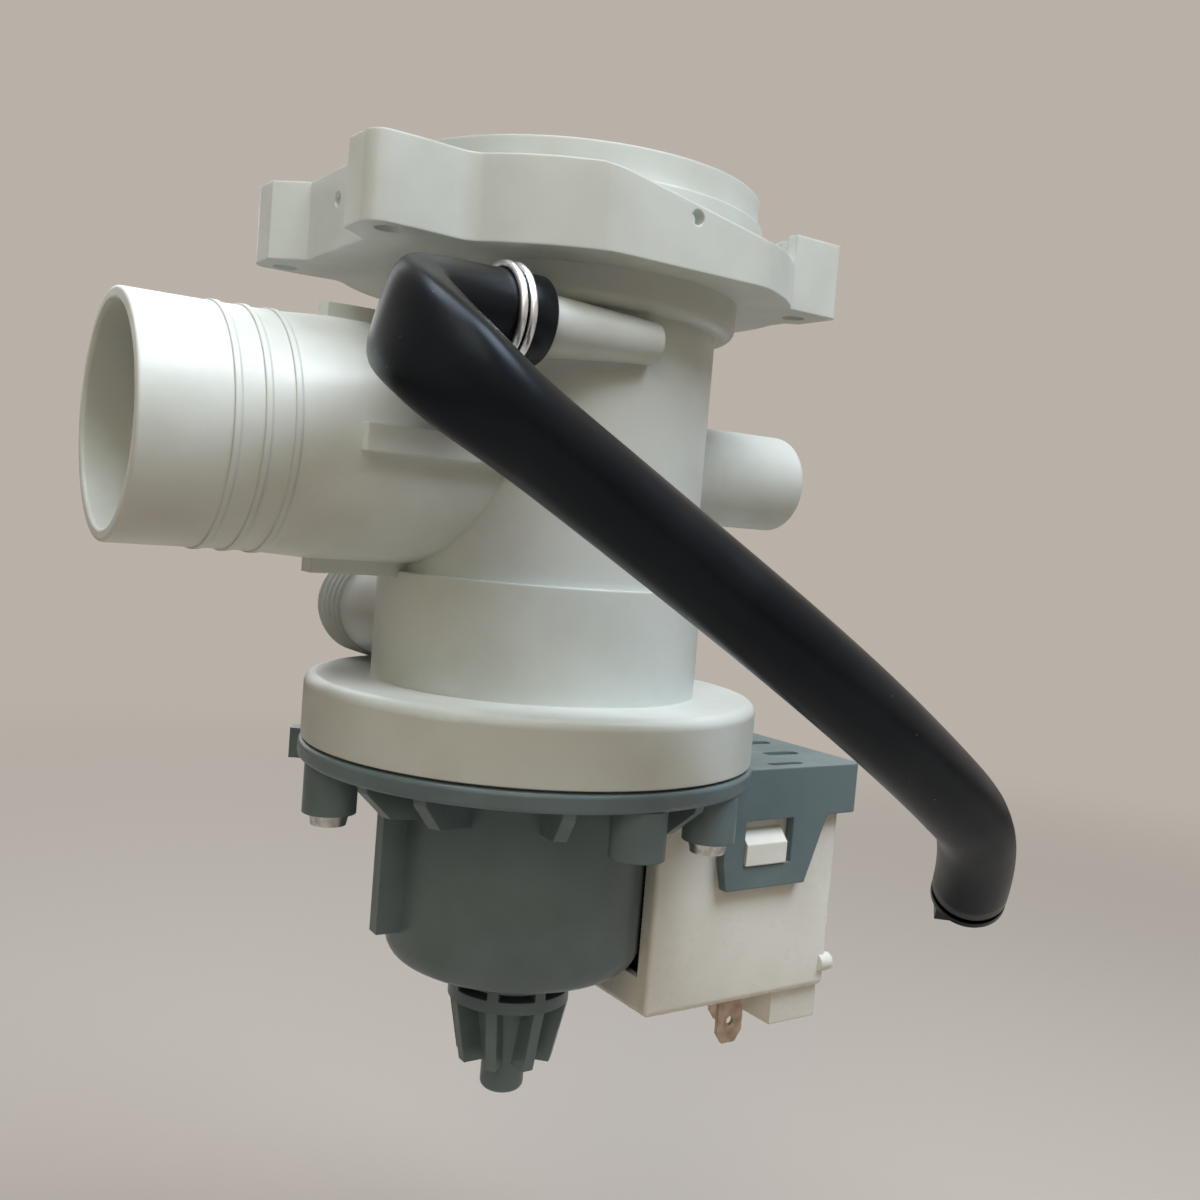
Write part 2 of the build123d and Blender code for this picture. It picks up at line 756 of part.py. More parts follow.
# Motor housing: ring, spigot, can, rotor well, bosses, gussets, nose and coil bracket
z_well = z_can + well_floor
z_bracket = z_joint - bracket_drop
z_nose_ring = z_can - nose_ring_height
z_band_top = z_nose_ring - nose_window
z_band = z_band_top - nose_band_height
z_tip = z_can - nose_length
z_stack_top = z_joint - stack_top_drop
z_stack = z_stack_top - stack_height
cover_top = z_bracket - bracket_wall - free_gap
plain_boss_places = tuple(
    (boss_circle_radius * cos(radians(angle)), boss_circle_radius * sin(radians(angle)))
    for angle in plain_boss_angles
)
with BuildPart() as motor_housing:
    revolve(
        profile(
            (0, z_joint),
            (collar_recess_radius - free_gap - spigot_wall, z_joint),
            (collar_recess_radius - free_gap - spigot_wall, z_joint + spigot_height),
            (collar_recess_radius - free_gap, z_joint + spigot_height),
            (collar_recess_radius - free_gap, z_joint),
            (collar_radius - ring_joint_depth, z_joint),
            (collar_radius - ring_joint_depth, z_joint - ring_joint_gap),
            (ring_radius, z_joint - ring_joint_gap),
            (ring_radius, z_ring),
            (can_radius, z_ring),
            (can_radius, z_can),
            (0, z_can),
        ),
        axis=Axis.Z,
    )
    can_edge = motor_housing.edges().filter_by(GeomType.CIRCLE).filter_by(
        lambda e: abs(e.radius - can_radius) < seat_gap and abs(e.center().Z - z_can) < seat_gap
    )
    fillet(can_edge, can_round)
    ring_edges = motor_housing.edges().filter_by(GeomType.CIRCLE).filter_by(
        lambda e: abs(e.radius - ring_radius) < seat_gap
    )
    fillet(ring_edges, ring_round)
    # space for the poles between the can and the rotor well
    revolve(
        profile(
            (well_radius + well_wall, z_ring),
            (can_radius - can_wall, z_ring),
            (can_radius - can_wall, z_can + can_wall + pocket_round),
            (can_radius - can_wall - pocket_round, z_can + can_wall),
            (well_radius + well_wall, z_can + can_wall),
        ),
        axis=Axis.Z,
        mode=Mode.SUBTRACT,
    )
    revolve(
        profile(
            (0, z_joint + cut_over),
            (well_radius, z_joint + cut_over),
            (well_radius, z_well),
            (grommet_radius, z_well),
            (grommet_radius, z_can + can_wall / 2),
            (0, z_can + can_wall / 2),
        ),
        axis=Axis.Z,
        mode=Mode.SUBTRACT,
    )
    # slots that let the stator arms in from the coil side
    with BuildSketch(Plane.XY.offset(z_stack - free_gap)):
        with Locations((can_radius, (arm_inner + arm_outer) / 2), (can_radius, -(arm_inner + arm_outer) / 2)):
            Rectangle(2 * can_radius - 2 * arm_start, arm_outer - arm_inner + 2 * free_gap)
        Circle(well_radius + well_wall, mode=Mode.SUBTRACT)
    extrude(amount=stack_height + 2 * free_gap, mode=Mode.SUBTRACT)
    # screw bosses and plain bosses under the ring
    with BuildSketch(Plane.XY.offset(z_ring)):
        with Locations(*screw_places, *plain_boss_places):
            Circle(boss_radius)
    extrude(amount=-boss_length)
    # gussets from the ring to the can
    for angle in gusset_angles:
        with BuildSketch(Plane.XZ.rotated((0, 0, angle)).offset(gusset_thickness / 2)):
            with BuildLine():
                Polyline(
                    (can_radius - can_wall / 2, z_ring),
                    (can_radius - can_wall / 2, z_ring - gusset_can_depth),
                    (ring_radius - gusset_thickness, z_ring - gusset_rim_depth),
                    (ring_radius - gusset_thickness / 2, z_ring),
                    close=True,
                )
            make_face()
        extrude(amount=-gusset_thickness)
    # upright fins on the can
    for angle in fin_angles:
        with BuildSketch(Plane.XZ.rotated((0, 0, angle)).offset(fin_thickness / 2)):
            with BuildLine():
                Polyline(
                    (can_radius - can_wall / 2, z_ring),
                    (fin_reach, z_ring),
                    (fin_reach, z_ring - fin_length),
                    (can_radius - can_wall / 2, z_ring - fin_length),
                    close=True,
                )
            make_face()
        extrude(amount=-fin_thickness)
    # key lug at the rim
    with BuildSketch(Plane.XY.rotated((0, 0, key_lug_angle)).offset(z_joint - free_gap)):
        with Locations(((key_lug_reach + can_radius) / 2, 0)):
            Rectangle(key_lug_reach - can_radius, key_lug_width)
    extrude(amount=-key_lug_height)
    # coil bracket, a roof with walls on three sides
    with BuildSketch(Plane.XY.offset(z_bracket)):
        with Locations(((can_radius + bracket_reach) / 2, 0)):
            Rectangle(bracket_reach - can_radius, 2 * bracket_half_width)
        corners = [v for v in vertices() if v.X > bracket_root]
        fillet(corners, bracket_round)
        Circle(ring_radius - gusset_thickness, mode=Mode.SUBTRACT)
    extrude(amount=-bracket_height)
    with BuildSketch(Plane.XY.offset(z_bracket - bracket_wall)):
        with Locations(((can_radius + bracket_reach) / 2 - bracket_wall, 0)):
            Rectangle(bracket_reach - can_radius, 2 * (bracket_half_width - bracket_wall))
        Circle(can_radius, mode=Mode.SUBTRACT)
        with Locations(*screw_places):
            Circle(boss_radius, mode=Mode.SUBTRACT)
    extrude(amount=-bracket_height, mode=Mode.SUBTRACT)
    # slots in the roof
    slot_x = bracket_reach - bracket_slot_length
    with BuildSketch(Plane.XY.offset(z_bracket + cut_over)):
        with Locations(
            (slot_x, 0),
            (slot_x - bracket_wall, -bracket_slot_pitch),
            (slot_x - bracket_wall, bracket_slot_pitch),
        ):
            SlotOverall(bracket_slot_length, bracket_slot_width)
        with Locations(
            (slot_x - bracket_slot_length, -bracket_half_width + bracket_wall * 2),
            (slot_x - bracket_slot_length, bracket_half_width - bracket_wall * 2),
        ):
            SlotOverall(bracket_slot_length, bracket_edge_slot_width)
    extrude(amount=-bracket_wall - 2 * cut_over, mode=Mode.SUBTRACT)
    # latch loops that hang from the bracket over the nubs of the coil cover
    with BuildSketch(Plane.XZ.offset(bracket_half_width)) as latch:
        with BuildLine():
            Polyline(
                (latch_left, z_ring + seat_gap),
                (latch_left, z_joint - latch_bottom_drop + latch_corner_rise),
                (latch_bottom_left, z_joint - latch_bottom_drop),
                (latch_bottom_right, z_joint - latch_bottom_drop),
                (latch_top_right, z_bracket - bracket_height),
                (bracket_root + latch_leg, z_bracket - bracket_wall),
                (latch_left + latch_leg, z_ring + seat_gap),
                close=True,
            )
        make_face()
        with BuildLine():
            Polyline(
                (window_left, z_joint - window_top_drop),
                (window_right, z_joint - window_top_drop),
                (window_right, z_joint - latch_bottom_drop + latch_bar),
                (window_left, z_joint - latch_bottom_drop + latch_bar),
                close=True,
            )
        make_face(mode=Mode.SUBTRACT)
    extrude(amount=-bracket_wall)
    with BuildSketch(Plane.XZ.offset(-bracket_half_width)):
        add(latch.sketch_local)
    extrude(amount=bracket_wall)
    # nose: ring, band and tapered blades round a core
    with BuildSketch(Plane.XY.offset(z_can)):
        Circle(nose_radius)
    extrude(amount=-nose_ring_height)
    with BuildSketch(Plane.XY.offset(z_nose_ring)):
        Circle(nose_core_radius)
        with PolarLocations(0, blade_count):
            Rectangle(2 * nose_band_radius, blade_thickness)
    extrude(amount=-nose_window)
    with BuildSketch(Plane.XY.offset(z_band_top)):
        Circle(nose_band_radius)
    extrude(amount=-nose_band_height)
    for index in range(blade_count):
        angle = index * 360 / blade_count
        with BuildSketch(Plane.XZ.rotated((0, 0, angle)).offset(blade_thickness / 2)):
            with BuildLine():
                Polyline(
                    (0, z_band),
                    (nose_band_radius, z_band),
                    (blade_tip_radius, z_band - blade_length),
                    (0, z_band - blade_length),
                    close=True,
                )
            make_face()
        extrude(amount=-blade_thickness)
    revolve(
        profile(
            (0, z_band),
            (nose_core_top_radius, z_band),
            (core_tip_radius, z_band - blade_length),
            (pin_radius, z_band - blade_length),
            (pin_radius, z_tip),
            (0, z_tip),
        ),
        axis=Axis.Z,
    )
    pin_edge = motor_housing.edges().filter_by(GeomType.CIRCLE).sort_by(Axis.Z)[0]
    fillet(pin_edge, pin_round)
    # screw holes
    with BuildSketch(Plane.XY.offset(z_joint + cut_over)):
        with Locations(*screw_places):
            Circle(screw_radius + seat_gap)
    extrude(amount=-ring_thickness - boss_length - 2 * cut_over, mode=Mode.SUBTRACT)
save(motor_housing, "motor_housing")

# Screws that hold the motor housing to the collar, with crossed slots in the heads
z_screw = z_ring - boss_length
with BuildPart() as flange_screws:
    with BuildSketch(Plane.XY.offset(z_screw)):
        with Locations(*screw_places):
            Circle(screw_radius)
    extrude(amount=screw_length)
    with BuildSketch(Plane.XY.offset(z_screw)):
        with Locations(*screw_places):
            Circle(screw_head_radius)
    extrude(amount=-screw_head_height, taper=screw_head_taper)
    with BuildSketch(Plane.XY.offset(z_screw - screw_head_height)):
        with Locations(*screw_places):
            Rectangle(screw_head_radius, screw_slot_width)
            Rectangle(screw_slot_width, screw_head_radius)
    extrude(amount=screw_slot_depth, mode=Mode.SUBTRACT)
save(flange_screws, "flange_screws")

with BuildPart() as housing_seal:
    with BuildSketch(Plane.XZ):
        with Locations((housing_seal_radius, z_joint + spigot_height + housing_seal_section + running_gap)):
            Circle(housing_seal_section)
    revolve(axis=Axis.Z)
save(housing_seal, "housing_seal")

# Stator core, a U of laminations whose poles embrace the rotor well
with BuildPart() as stator_core:
    with BuildSketch(Plane.XY.offset(z_stack)):
        Circle(pole_radius)
        Rectangle(2 * pole_radius, 2 * pole_gap_half, mode=Mode.SUBTRACT)
        with Locations((arm_start, arm_inner), (arm_start, -arm_outer)):
            Rectangle(core_reach - arm_start, arm_outer - arm_inner, align=(Align.MIN, Align.MIN))
        with Locations((core_reach - yoke_width, 0)):
            Rectangle(yoke_width, 2 * arm_outer, align=(Align.MIN, Align.CENTER))
        Circle(well_radius + well_wall + pole_bore_gap, mode=Mode.SUBTRACT)
    extrude(amount=stack_height)
save(stator_core, "stator_core")

# Bobbins, one round each arm
arm_width = arm_outer - arm_inner
arm_middle = (arm_outer + arm_inner) / 2
z_stack_middle = (z_stack + z_stack_top) / 2
arm_places = ((arm_middle, z_stack_middle), (-arm_middle, z_stack_middle))
bobbin_outer_width = arm_width + 2 * (seat_gap + bobbin_wall)
bobbin_outer_height = stack_height + 2 * (seat_gap + bobbin_wall)
with BuildPart() as coil_bobbins:
    with BuildSketch(Plane.YZ.offset(bobbin_start)):
        with Locations(*arm_places):
            Rectangle(bobbin_outer_width, bobbin_outer_height)
    extrude(amount=bobbin_length)
    flange_planes = (
        Plane.YZ.offset(bobbin_start),
        Plane.YZ.offset(bobbin_start + bobbin_length - bobbin_flange),
    )
    with BuildSketch(*flange_planes):
        with Locations(*arm_places):
            Rectangle(bobbin_outer_width + 2 * winding_depth, bobbin_outer_height + 2 * winding_depth)
    extrude(amount=bobbin_flange)
    with BuildSketch(Plane.YZ.offset(bobbin_start - cut_over)):
        with Locations(*arm_places):
            Rectangle(arm_width + 2 * seat_gap, stack_height + 2 * seat_gap)
    extrude(amount=bobbin_length + 2 * cut_over, mode=Mode.SUBTRACT)
save(coil_bobbins, "coil_bobbins")

with BuildPart() as coil_windings:
    with BuildSketch(Plane.YZ.offset(bobbin_start + bobbin_flange)):
        with Locations(*arm_places):
            RectangleRounded(
                bobbin_outer_width + 2 * (winding_depth - seat_gap),
                bobbin_outer_height + 2 * (winding_depth - seat_gap),
                winding_round,
            )
            Rectangle(bobbin_outer_width, bobbin_outer_height, mode=Mode.SUBTRACT)
    extrude(amount=bobbin_length - 2 * bobbin_flange)
save(coil_windings, "coil_windings")

# Thermal cut-out, clipped between the two windings
with BuildPart() as thermal_cutout:
    gap_between = 2 * (arm_inner - seat_gap - bobbin_wall - winding_depth) - 2 * seat_gap
    with BuildSketch(Plane.YZ.offset(bobbin_start + bobbin_length / 2 - cutout_length / 2)):
        with Locations((0, z_stack_middle)):
            RectangleRounded(gap_between, cutout_side, winding_round)
    extrude(amount=cutout_length)
save(thermal_cutout, "thermal_cutout")

# Coil cover, a box round the coils with latch nubs, a terminal shroud and a recess for the can
z_cover = cover_top - cover_height
cover_middle = (cover_left + cover_right) / 2
spade_places = (
    (spade_left + spade_width / 2, -spade_front),
    (spade_left + spade_width / 2 + spade_stagger, -spade_front + spade_pitch),
)
with BuildPart() as coil_cover:
    with BuildSketch(Plane.XY.offset(z_cover)):
        with Locations((cover_middle, 0)):
            Rectangle(cover_right - cover_left, 2 * cover_half_width)
    extrude(amount=cover_height)
    fillet(coil_cover.edges().group_by(Axis.Z)[0], cover_round)
    fillet(coil_cover.edges().filter_by(Axis.Z), cover_round / 2)
    with BuildSketch(Plane.XY.offset(z_cover + cover_wall)):
        with Locations((cover_middle, 0)):
            Rectangle(cover_right - cover_left - 2 * cover_wall, 2 * (cover_half_width - cover_wall))
    extrude(amount=cover_height - 2 * cover_wall, mode=Mode.SUBTRACT)
    # recess round the can and openings for the stator arms
    with BuildSketch(Plane.XY.offset(z_can - cut_over)):
        Circle(can_radius + cover_can_gap)
    extrude(amount=-z_can + z_ring + cut_over, mode=Mode.SUBTRACT)
    with BuildSketch(Plane.YZ.offset(cover_left - cut_over)):
        with Locations(*arm_places):
            Rectangle(arm_width + 2 * free_gap, stack_height + 2 * free_gap)
    extrude(amount=cover_wall + 2 * cut_over, mode=Mode.SUBTRACT)
    # latch nubs with a ramp on top
    for side in (1, -1):
        nub_plane = Plane.YZ.offset(window_right - nub_right_gap - nub_width)
        z_nub = z_joint - latch_bottom_drop + latch_bar + seat_gap
        with BuildSketch(nub_plane):
            with BuildLine():
                Polyline(
                    (side * (cover_half_width - cover_wall / 2), z_nub),
                    (side * (cover_half_width + nub_depth), z_nub),
                    (side * (cover_half_width + nub_depth), z_nub + nub_height - nub_ramp / 2),
                    (side * cover_half_width, z_nub + nub_height + nub_ramp / 2),
                    (side * (cover_half_width - cover_wall / 2), z_nub + nub_height + nub_ramp / 2),
                    close=True,
                )
            make_face()
        extrude(amount=nub_width)
    # round-ended stud on the upright edge
    with BuildSketch(Plane.YZ.offset(cover_right - stud_radius)):
        with Locations((-cover_half_width + stud_inset, z_cover + stud_rise)):
            Circle(stud_radius)
    extrude(amount=stud_radius + stud_height)
    stud_end = coil_cover.edges().filter_by(GeomType.CIRCLE).sort_by(Axis.X)[-1]
    fillet(stud_end, stud_round)
    # terminal shroud, open downwards
    with BuildSketch(Plane.XY.offset(z_cover + cover_wall / 2)):
        with Locations((shroud_left, -cover_half_width + cover_round)):
            Rectangle(shroud_right - shroud_left, shroud_depth, align=(Align.MIN, Align.MIN))
        with Locations((shroud_left + shroud_wall, -cover_half_width + cover_round + shroud_wall)):
            Rectangle(
                shroud_right - shroud_left - 2 * shroud_wall,
                shroud_depth - 2 * shroud_wall,
                align=(Align.MIN, Align.MIN),
                mode=Mode.SUBTRACT,
            )
    extrude(amount=-shroud_height - cover_wall / 2)
    # slots for the terminals
    with BuildSketch(Plane.XY.offset(z_cover - cut_over)):
        with Locations(*spade_places):
            Rectangle(spade_width + 2 * seat_gap, spade_thickness + 2 * seat_gap)
    extrude(amount=cover_wall + 2 * cut_over, mode=Mode.SUBTRACT)
save(coil_cover, "coil_cover")

# Spade terminals with pointed tips
with BuildPart() as terminals:
    for place in spade_places:
        with BuildSketch(Plane.XZ.offset(-place[1] + spade_thickness / 2)):
            with BuildLine():
                Polyline(
                    (place[0] - spade_width / 2, z_cover + spade_rise),
                    (place[0] - spade_width / 2, z_cover - spade_drop + spade_point),
                    (place[0] - spade_width / 4, z_cover - spade_drop),
                    (place[0] + spade_width / 4, z_cover - spade_drop),
                    (place[0] + spade_width / 2, z_cover - spade_drop + spade_point),
                    (place[0] + spade_width / 2, z_cover + spade_rise),
                    close=True,
                )
            make_face()
            with Locations((place[0], z_cover - spade_drop / 2)):
                Circle(spade_hole_radius, mode=Mode.SUBTRACT)
        extrude(amount=-spade_thickness)
save(terminals, "terminals")

# Rear bearing in its rubber holder at the bottom of the well
z_socket = z_can + can_wall / 2
with BuildPart() as rear_grommet:
    with BuildSketch(Plane.XY.offset(z_socket)):
        Circle(grommet_radius - seat_gap)
        Circle(bearing_radius + seat_gap, mode=Mode.SUBTRACT)
    extrude(amount=bearing_length)
save(rear_grommet, "rear_grommet")

with BuildPart() as rear_bearing:
    with BuildSketch(Plane.XY.offset(z_socket)):
        Circle(bearing_radius)
        Circle(shaft_radius + running_gap, mode=Mode.SUBTRACT)
    extrude(amount=bearing_length)
save(rear_bearing, "rear_bearing")

# Bearing plate that closes the well, with the front bearing in its rubber holder
z_plate = z_joint - plate_thickness
with BuildPart() as bearing_plate:
    revolve(
        profile(
            (grommet_radius, z_plate),
            (well_radius - seat_gap, z_plate),
            (well_radius - seat_gap, z_joint),
            (plate_lip_radius, z_joint),
            (plate_lip_radius, z_joint + plate_lip),
            (grommet_radius, z_joint + plate_lip),
        ),
        axis=Axis.Z,
    )
save(bearing_plate, "bearing_plate")

with BuildPart() as front_grommet:
    with BuildSketch(Plane.XY.offset(z_plate)):
        Circle(grommet_radius - seat_gap)
        Circle(bearing_radius + seat_gap, mode=Mode.SUBTRACT)
    extrude(amount=plate_thickness + plate_lip / 2)
save(front_grommet, "front_grommet")

with BuildPart() as front_bearing:
    with BuildSketch(Plane.XY.offset(z_plate)):
        Circle(bearing_radius)
        Circle(shaft_radius + running_gap, mode=Mode.SUBTRACT)
    extrude(amount=bearing_length)
save(front_bearing, "front_bearing")

# Rotor: shaft, ring magnet in its plastic sleeve, thrust washer and drive dog
z_magnet_top = z_plate - free_gap - washer_thickness - sleeve_cap
z_magnet = z_magnet_top - magnet_length
z_shaft = z_socket + free_gap
z_impeller = z_joint + plate_lip + impeller_gap
z_cavity = z_impeller + hub_floor
z_cavity_top = z_cavity + dog_height + 2 * free_gap
z_hub_top = z_cavity_top + lid_thickness
with BuildPart() as rotor_shaft:
    with BuildSketch(Plane.XY.offset(z_shaft)):
        Circle(shaft_radius)
    extrude(amount=z_cavity_top - free_gap - z_shaft)
save(rotor_shaft, "rotor_shaft")

with BuildPart() as rotor_magnet:
    with BuildSketch(Plane.XY.offset(z_magnet)):
        Circle(magnet_radius)
        Circle(magnet_bore_radius, mode=Mode.SUBTRACT)
    extrude(amount=magnet_length)
save(rotor_magnet, "rotor_magnet")

with BuildPart() as magnet_sleeve:
    revolve(
        profile(
            (shaft_radius, z_magnet - sleeve_cap),
            (magnet_radius, z_magnet - sleeve_cap),
            (magnet_radius, z_magnet),
            (magnet_bore_radius, z_magnet),
            (magnet_bore_radius, z_magnet_top),
            (magnet_radius, z_magnet_top),
            (magnet_radius, z_magnet_top + sleeve_cap),
            (shaft_radius, z_magnet_top + sleeve_cap),
        ),
        axis=Axis.Z,
    )
save(magnet_sleeve, "magnet_sleeve")

with BuildPart() as thrust_washer:
    with BuildSketch(Plane.XY.offset(z_magnet_top + sleeve_cap)):
        Circle(washer_radius)
        Circle(shaft_radius, mode=Mode.SUBTRACT)
    extrude(amount=washer_thickness)
save(thrust_washer, "thrust_washer")

# Impeller with straight vanes, turned by a dog that has play in the hub cavity
with BuildPart() as drive_dog:
    with BuildSketch(Plane.XY.offset(z_cavity + free_gap)):
        Circle(dog_arm_radius)
        with BuildLine():
            half = radians(dog_angle / 2)
            Line((0, 0), (2 * dog_arm_radius * cos(half), 2 * dog_arm_radius * sin(half)))
            ThreePointArc(
                (2 * dog_arm_radius * cos(half), 2 * dog_arm_radius * sin(half)),
                (2 * dog_arm_radius, 0),
                (2 * dog_arm_radius * cos(half), -2 * dog_arm_radius * sin(half)),
            )
            Line((2 * dog_arm_radius * cos(half), -2 * dog_arm_radius * sin(half)), (0, 0))
        make_face(mode=Mode.INTERSECT)
        Circle(dog_hub_radius)
        Circle(shaft_radius, mode=Mode.SUBTRACT)
    extrude(amount=dog_height)
save(drive_dog, "drive_dog")

with BuildPart() as impeller:
    with BuildSketch(Plane.XY.offset(z_impeller)):
        Circle(impeller_radius)
    extrude(amount=impeller_disc)
    with BuildSketch(Plane.XY.offset(z_impeller)):
        with PolarLocations(impeller_radius / 2, vane_count):
            Rectangle(impeller_radius, vane_thickness)
    extrude(amount=-vane_top_drop - z_impeller)
    with BuildSketch(Plane.XY.offset(z_hub_top)):
        Circle(hub_radius)
    extrude(amount=-vane_top_drop - z_hub_top + cut_over, mode=Mode.SUBTRACT)
    with BuildSketch(Plane.XY.offset(z_impeller)):
        Circle(hub_radius)
    extrude(amount=z_hub_top - z_impeller)
    with BuildSketch(Plane.XY.offset(z_cavity)):
        Circle(cavity_radius)
    extrude(amount=z_hub_top - z_cavity + cut_over, mode=Mode.SUBTRACT)
    with BuildSketch(Plane.XY.offset(z_cavity)):
        with BuildLine():
            half = radians(dog_angle / 2)
            inner = dog_hub_radius + free_gap
            outer = (cavity_radius + hub_radius) / 2
            Line((-inner * cos(half), inner * sin(half)), (-outer * cos(half), outer * sin(half)))
            ThreePointArc(
                (-outer * cos(half), outer * sin(half)),
                (-outer, 0),
                (-outer * cos(half), -outer * sin(half)),
            )
            Line((-outer * cos(half), -outer * sin(half)), (-inner * cos(half), -inner * sin(half)))
            ThreePointArc(
                (-inner * cos(half), -inner * sin(half)),
                (-inner, 0),
                (-inner * cos(half), inner * sin(half)),
            )
        make_face()
    extrude(amount=z_cavity_top - z_cavity - seat_gap)
    with BuildSketch(Plane.XY.offset(z_impeller - cut_over)):
        Circle(shaft_radius + running_gap)
    extrude(amount=hub_floor + 2 * cut_over, mode=Mode.SUBTRACT)
save(impeller, "impeller")

with BuildPart() as impeller_lid:
    with BuildSketch(Plane.XY.offset(z_cavity_top)):
        Circle(cavity_radius - seat_gap / 2)
    extrude(amount=lid_thickness)
save(impeller_lid, "impeller_lid")

# Drain hose, a bent tube on straight runs joined by arcs as large as the runs allow
points = [Vector(*point) for point in hose_route]
runs = [(b - a).length for a, b in zip(points, points[1:])]
turns = [
    (points[i] - points[i - 1]).get_angle(points[i + 1] - points[i]) for i in range(1, len(points) - 1)
]
radii = [
    arc_share * min(runs[i], runs[i + 1]) / tan(radians(turns[i] / 2)) for i in range(len(turns))
]
print("hose runs", [round(run, 1) for run in runs])
print("hose turns", [round(turn) for turn in turns])
print("hose radii", [round(radius, 1) for radius in radii])
with BuildLine() as hose_line:
    FilletPolyline(*points, radius=radii)
hose_length = sum(edge.length for edge in hose_line.edges())
hose_start = Plane(origin=points[0], z_dir=points[1] - points[0])
with BuildPart() as drain_hose:
    with BuildSketch(hose_start):
        Circle(hose_radius)
    sweep(path=hose_line.line)
    with BuildSketch(hose_start):
        Circle(hose_bore_radius)
    sweep(path=hose_line.line, mode=Mode.SUBTRACT)
hose_section = pi * (hose_radius**2 - hose_bore_radius**2)
print(f"hose length {hose_length:.1f}")
print(f"hose volume {drain_hose.part.volume:.0f} of {hose_section * hose_length:.0f}")
save(drain_hose, "drain_hose")

# Stopper in the free end of the hose: shank, grooved head and a pull tab towards one side
end_way = (points[-1] - points[-2]).normalized()
side_way = Vector(0, 0, 1).cross(end_way).normalized()
stopper_section = Plane(origin=points[-1], x_dir=side_way, z_dir=side_way.cross(end_way))
with BuildPart() as hose_plug:
    revolve(
        profile(
            (0, -stopper_shank),
            (hose_bore_radius - seat_gap, -stopper_shank),
            (hose_bore_radius - seat_gap, 0),
            (hose_radius - stopper_groove, 0),
            (hose_radius - stopper_groove, stopper_groove),
            (hose_radius, stopper_groove),
            (hose_radius, stopper_head - stopper_bevel),
            (hose_radius - stopper_bevel, stopper_head),
            (0, stopper_head),
            plane=stopper_section,
        ),
        axis=Axis(points[-1], end_way),
    )
    tab_foot = points[-1] + end_way * stopper_head
    with BuildSketch(Plane(origin=tab_foot, x_dir=side_way, z_dir=end_way)):
        with Locations((stopper_tab_shift, 0)):
            Rectangle(stopper_tab_width, stopper_tab_thickness)
    extrude(amount=stopper_tab_length)
save(hose_plug, "hose_plug")
print("stopper axis", tuple(round(value, 5) for value in end_way), "at", tuple(points[-1]))

# Hose clamp, one spring wire bent into two loops with a return at the back and two tangs
wire_circle = hose_radius + clamp_wire_radius + running_gap
clamp_x = -nipple_boss_length - clamp_back
first_loop = Plane(origin=(clamp_x, -nipple_offset, -nipple_drop), x_dir=(0, 0, 1), z_dir=(-1, 0, 0))
turn_end = clamp_start_angle + clamp_angle


def on_loop(angle, shift):
    across = wire_circle * cos(radians(angle))
    along = wire_circle * sin(radians(angle))
    return first_loop.from_local_coords(Vector(across, along, shift))


def loop_tangent(angle):
    return (on_loop(angle + 90, 0) - first_loop.origin).normalized()


with BuildLine() as clamp_wire:
    ThreePointArc(
        on_loop(clamp_start_angle, 0),
        on_loop(clamp_start_angle + clamp_angle / 2, 0),
        on_loop(turn_end, 0),
    )
    back = on_loop(turn_end, clamp_spacing / 2) + loop_tangent(turn_end) * (clamp_spacing / 2)
    ThreePointArc(on_loop(turn_end, 0), back, on_loop(turn_end, clamp_spacing))
    ThreePointArc(
        on_loop(turn_end, clamp_spacing),
        on_loop(clamp_start_angle + clamp_angle / 2, clamp_spacing),
        on_loop(clamp_start_angle, clamp_spacing),
    )
    Line(
        on_loop(clamp_start_angle, 0),
        on_loop(clamp_start_angle, 0) - loop_tangent(clamp_start_angle) * clamp_tang,
    )
    Line(
        on_loop(clamp_start_angle, clamp_spacing),
        on_loop(clamp_start_angle, clamp_spacing) - loop_tangent(clamp_start_angle) * clamp_tang,
    )
with BuildPart() as hose_clamp:
    clamp_path = clamp_wire.wire()
    with BuildSketch(Plane(origin=clamp_path @ 0, z_dir=clamp_path % 0)):
        Circle(clamp_wire_radius)
    sweep(path=clamp_path)

# Least gap of the wire to itself, between points more than a few diameters apart along it
sample_count = 300
wire_points = [clamp_path.position_at(index / sample_count) for index in range(sample_count + 1)]
spacing = clamp_path.length / sample_count
apart = int(5 * clamp_wire_radius / spacing) + 1
least = min(
    (wire_points[i] - wire_points[j]).length
    for i in range(sample_count + 1)
    for j in range(i + apart, sample_count + 1)
)
print(f"clamp wire gap {least - 2 * clamp_wire_radius:.2f}")
save(hose_clamp, "hose_clamp")
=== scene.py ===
# %% [markdown]
# # Dressing a washing machine's drain pump
# The model comes in finished in shape: each piece is a solid of its real size, on the body that it moves
# with. What is left is what the eye reads as material: moulded plastic, rubber, spring wire, tinned brass.
# Everything is in metres, +Z is the pump axis out of the filter mouth, and the inlet points along -X.

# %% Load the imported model
import math

import bmesh
import bpy
from mathutils import Matrix, Vector


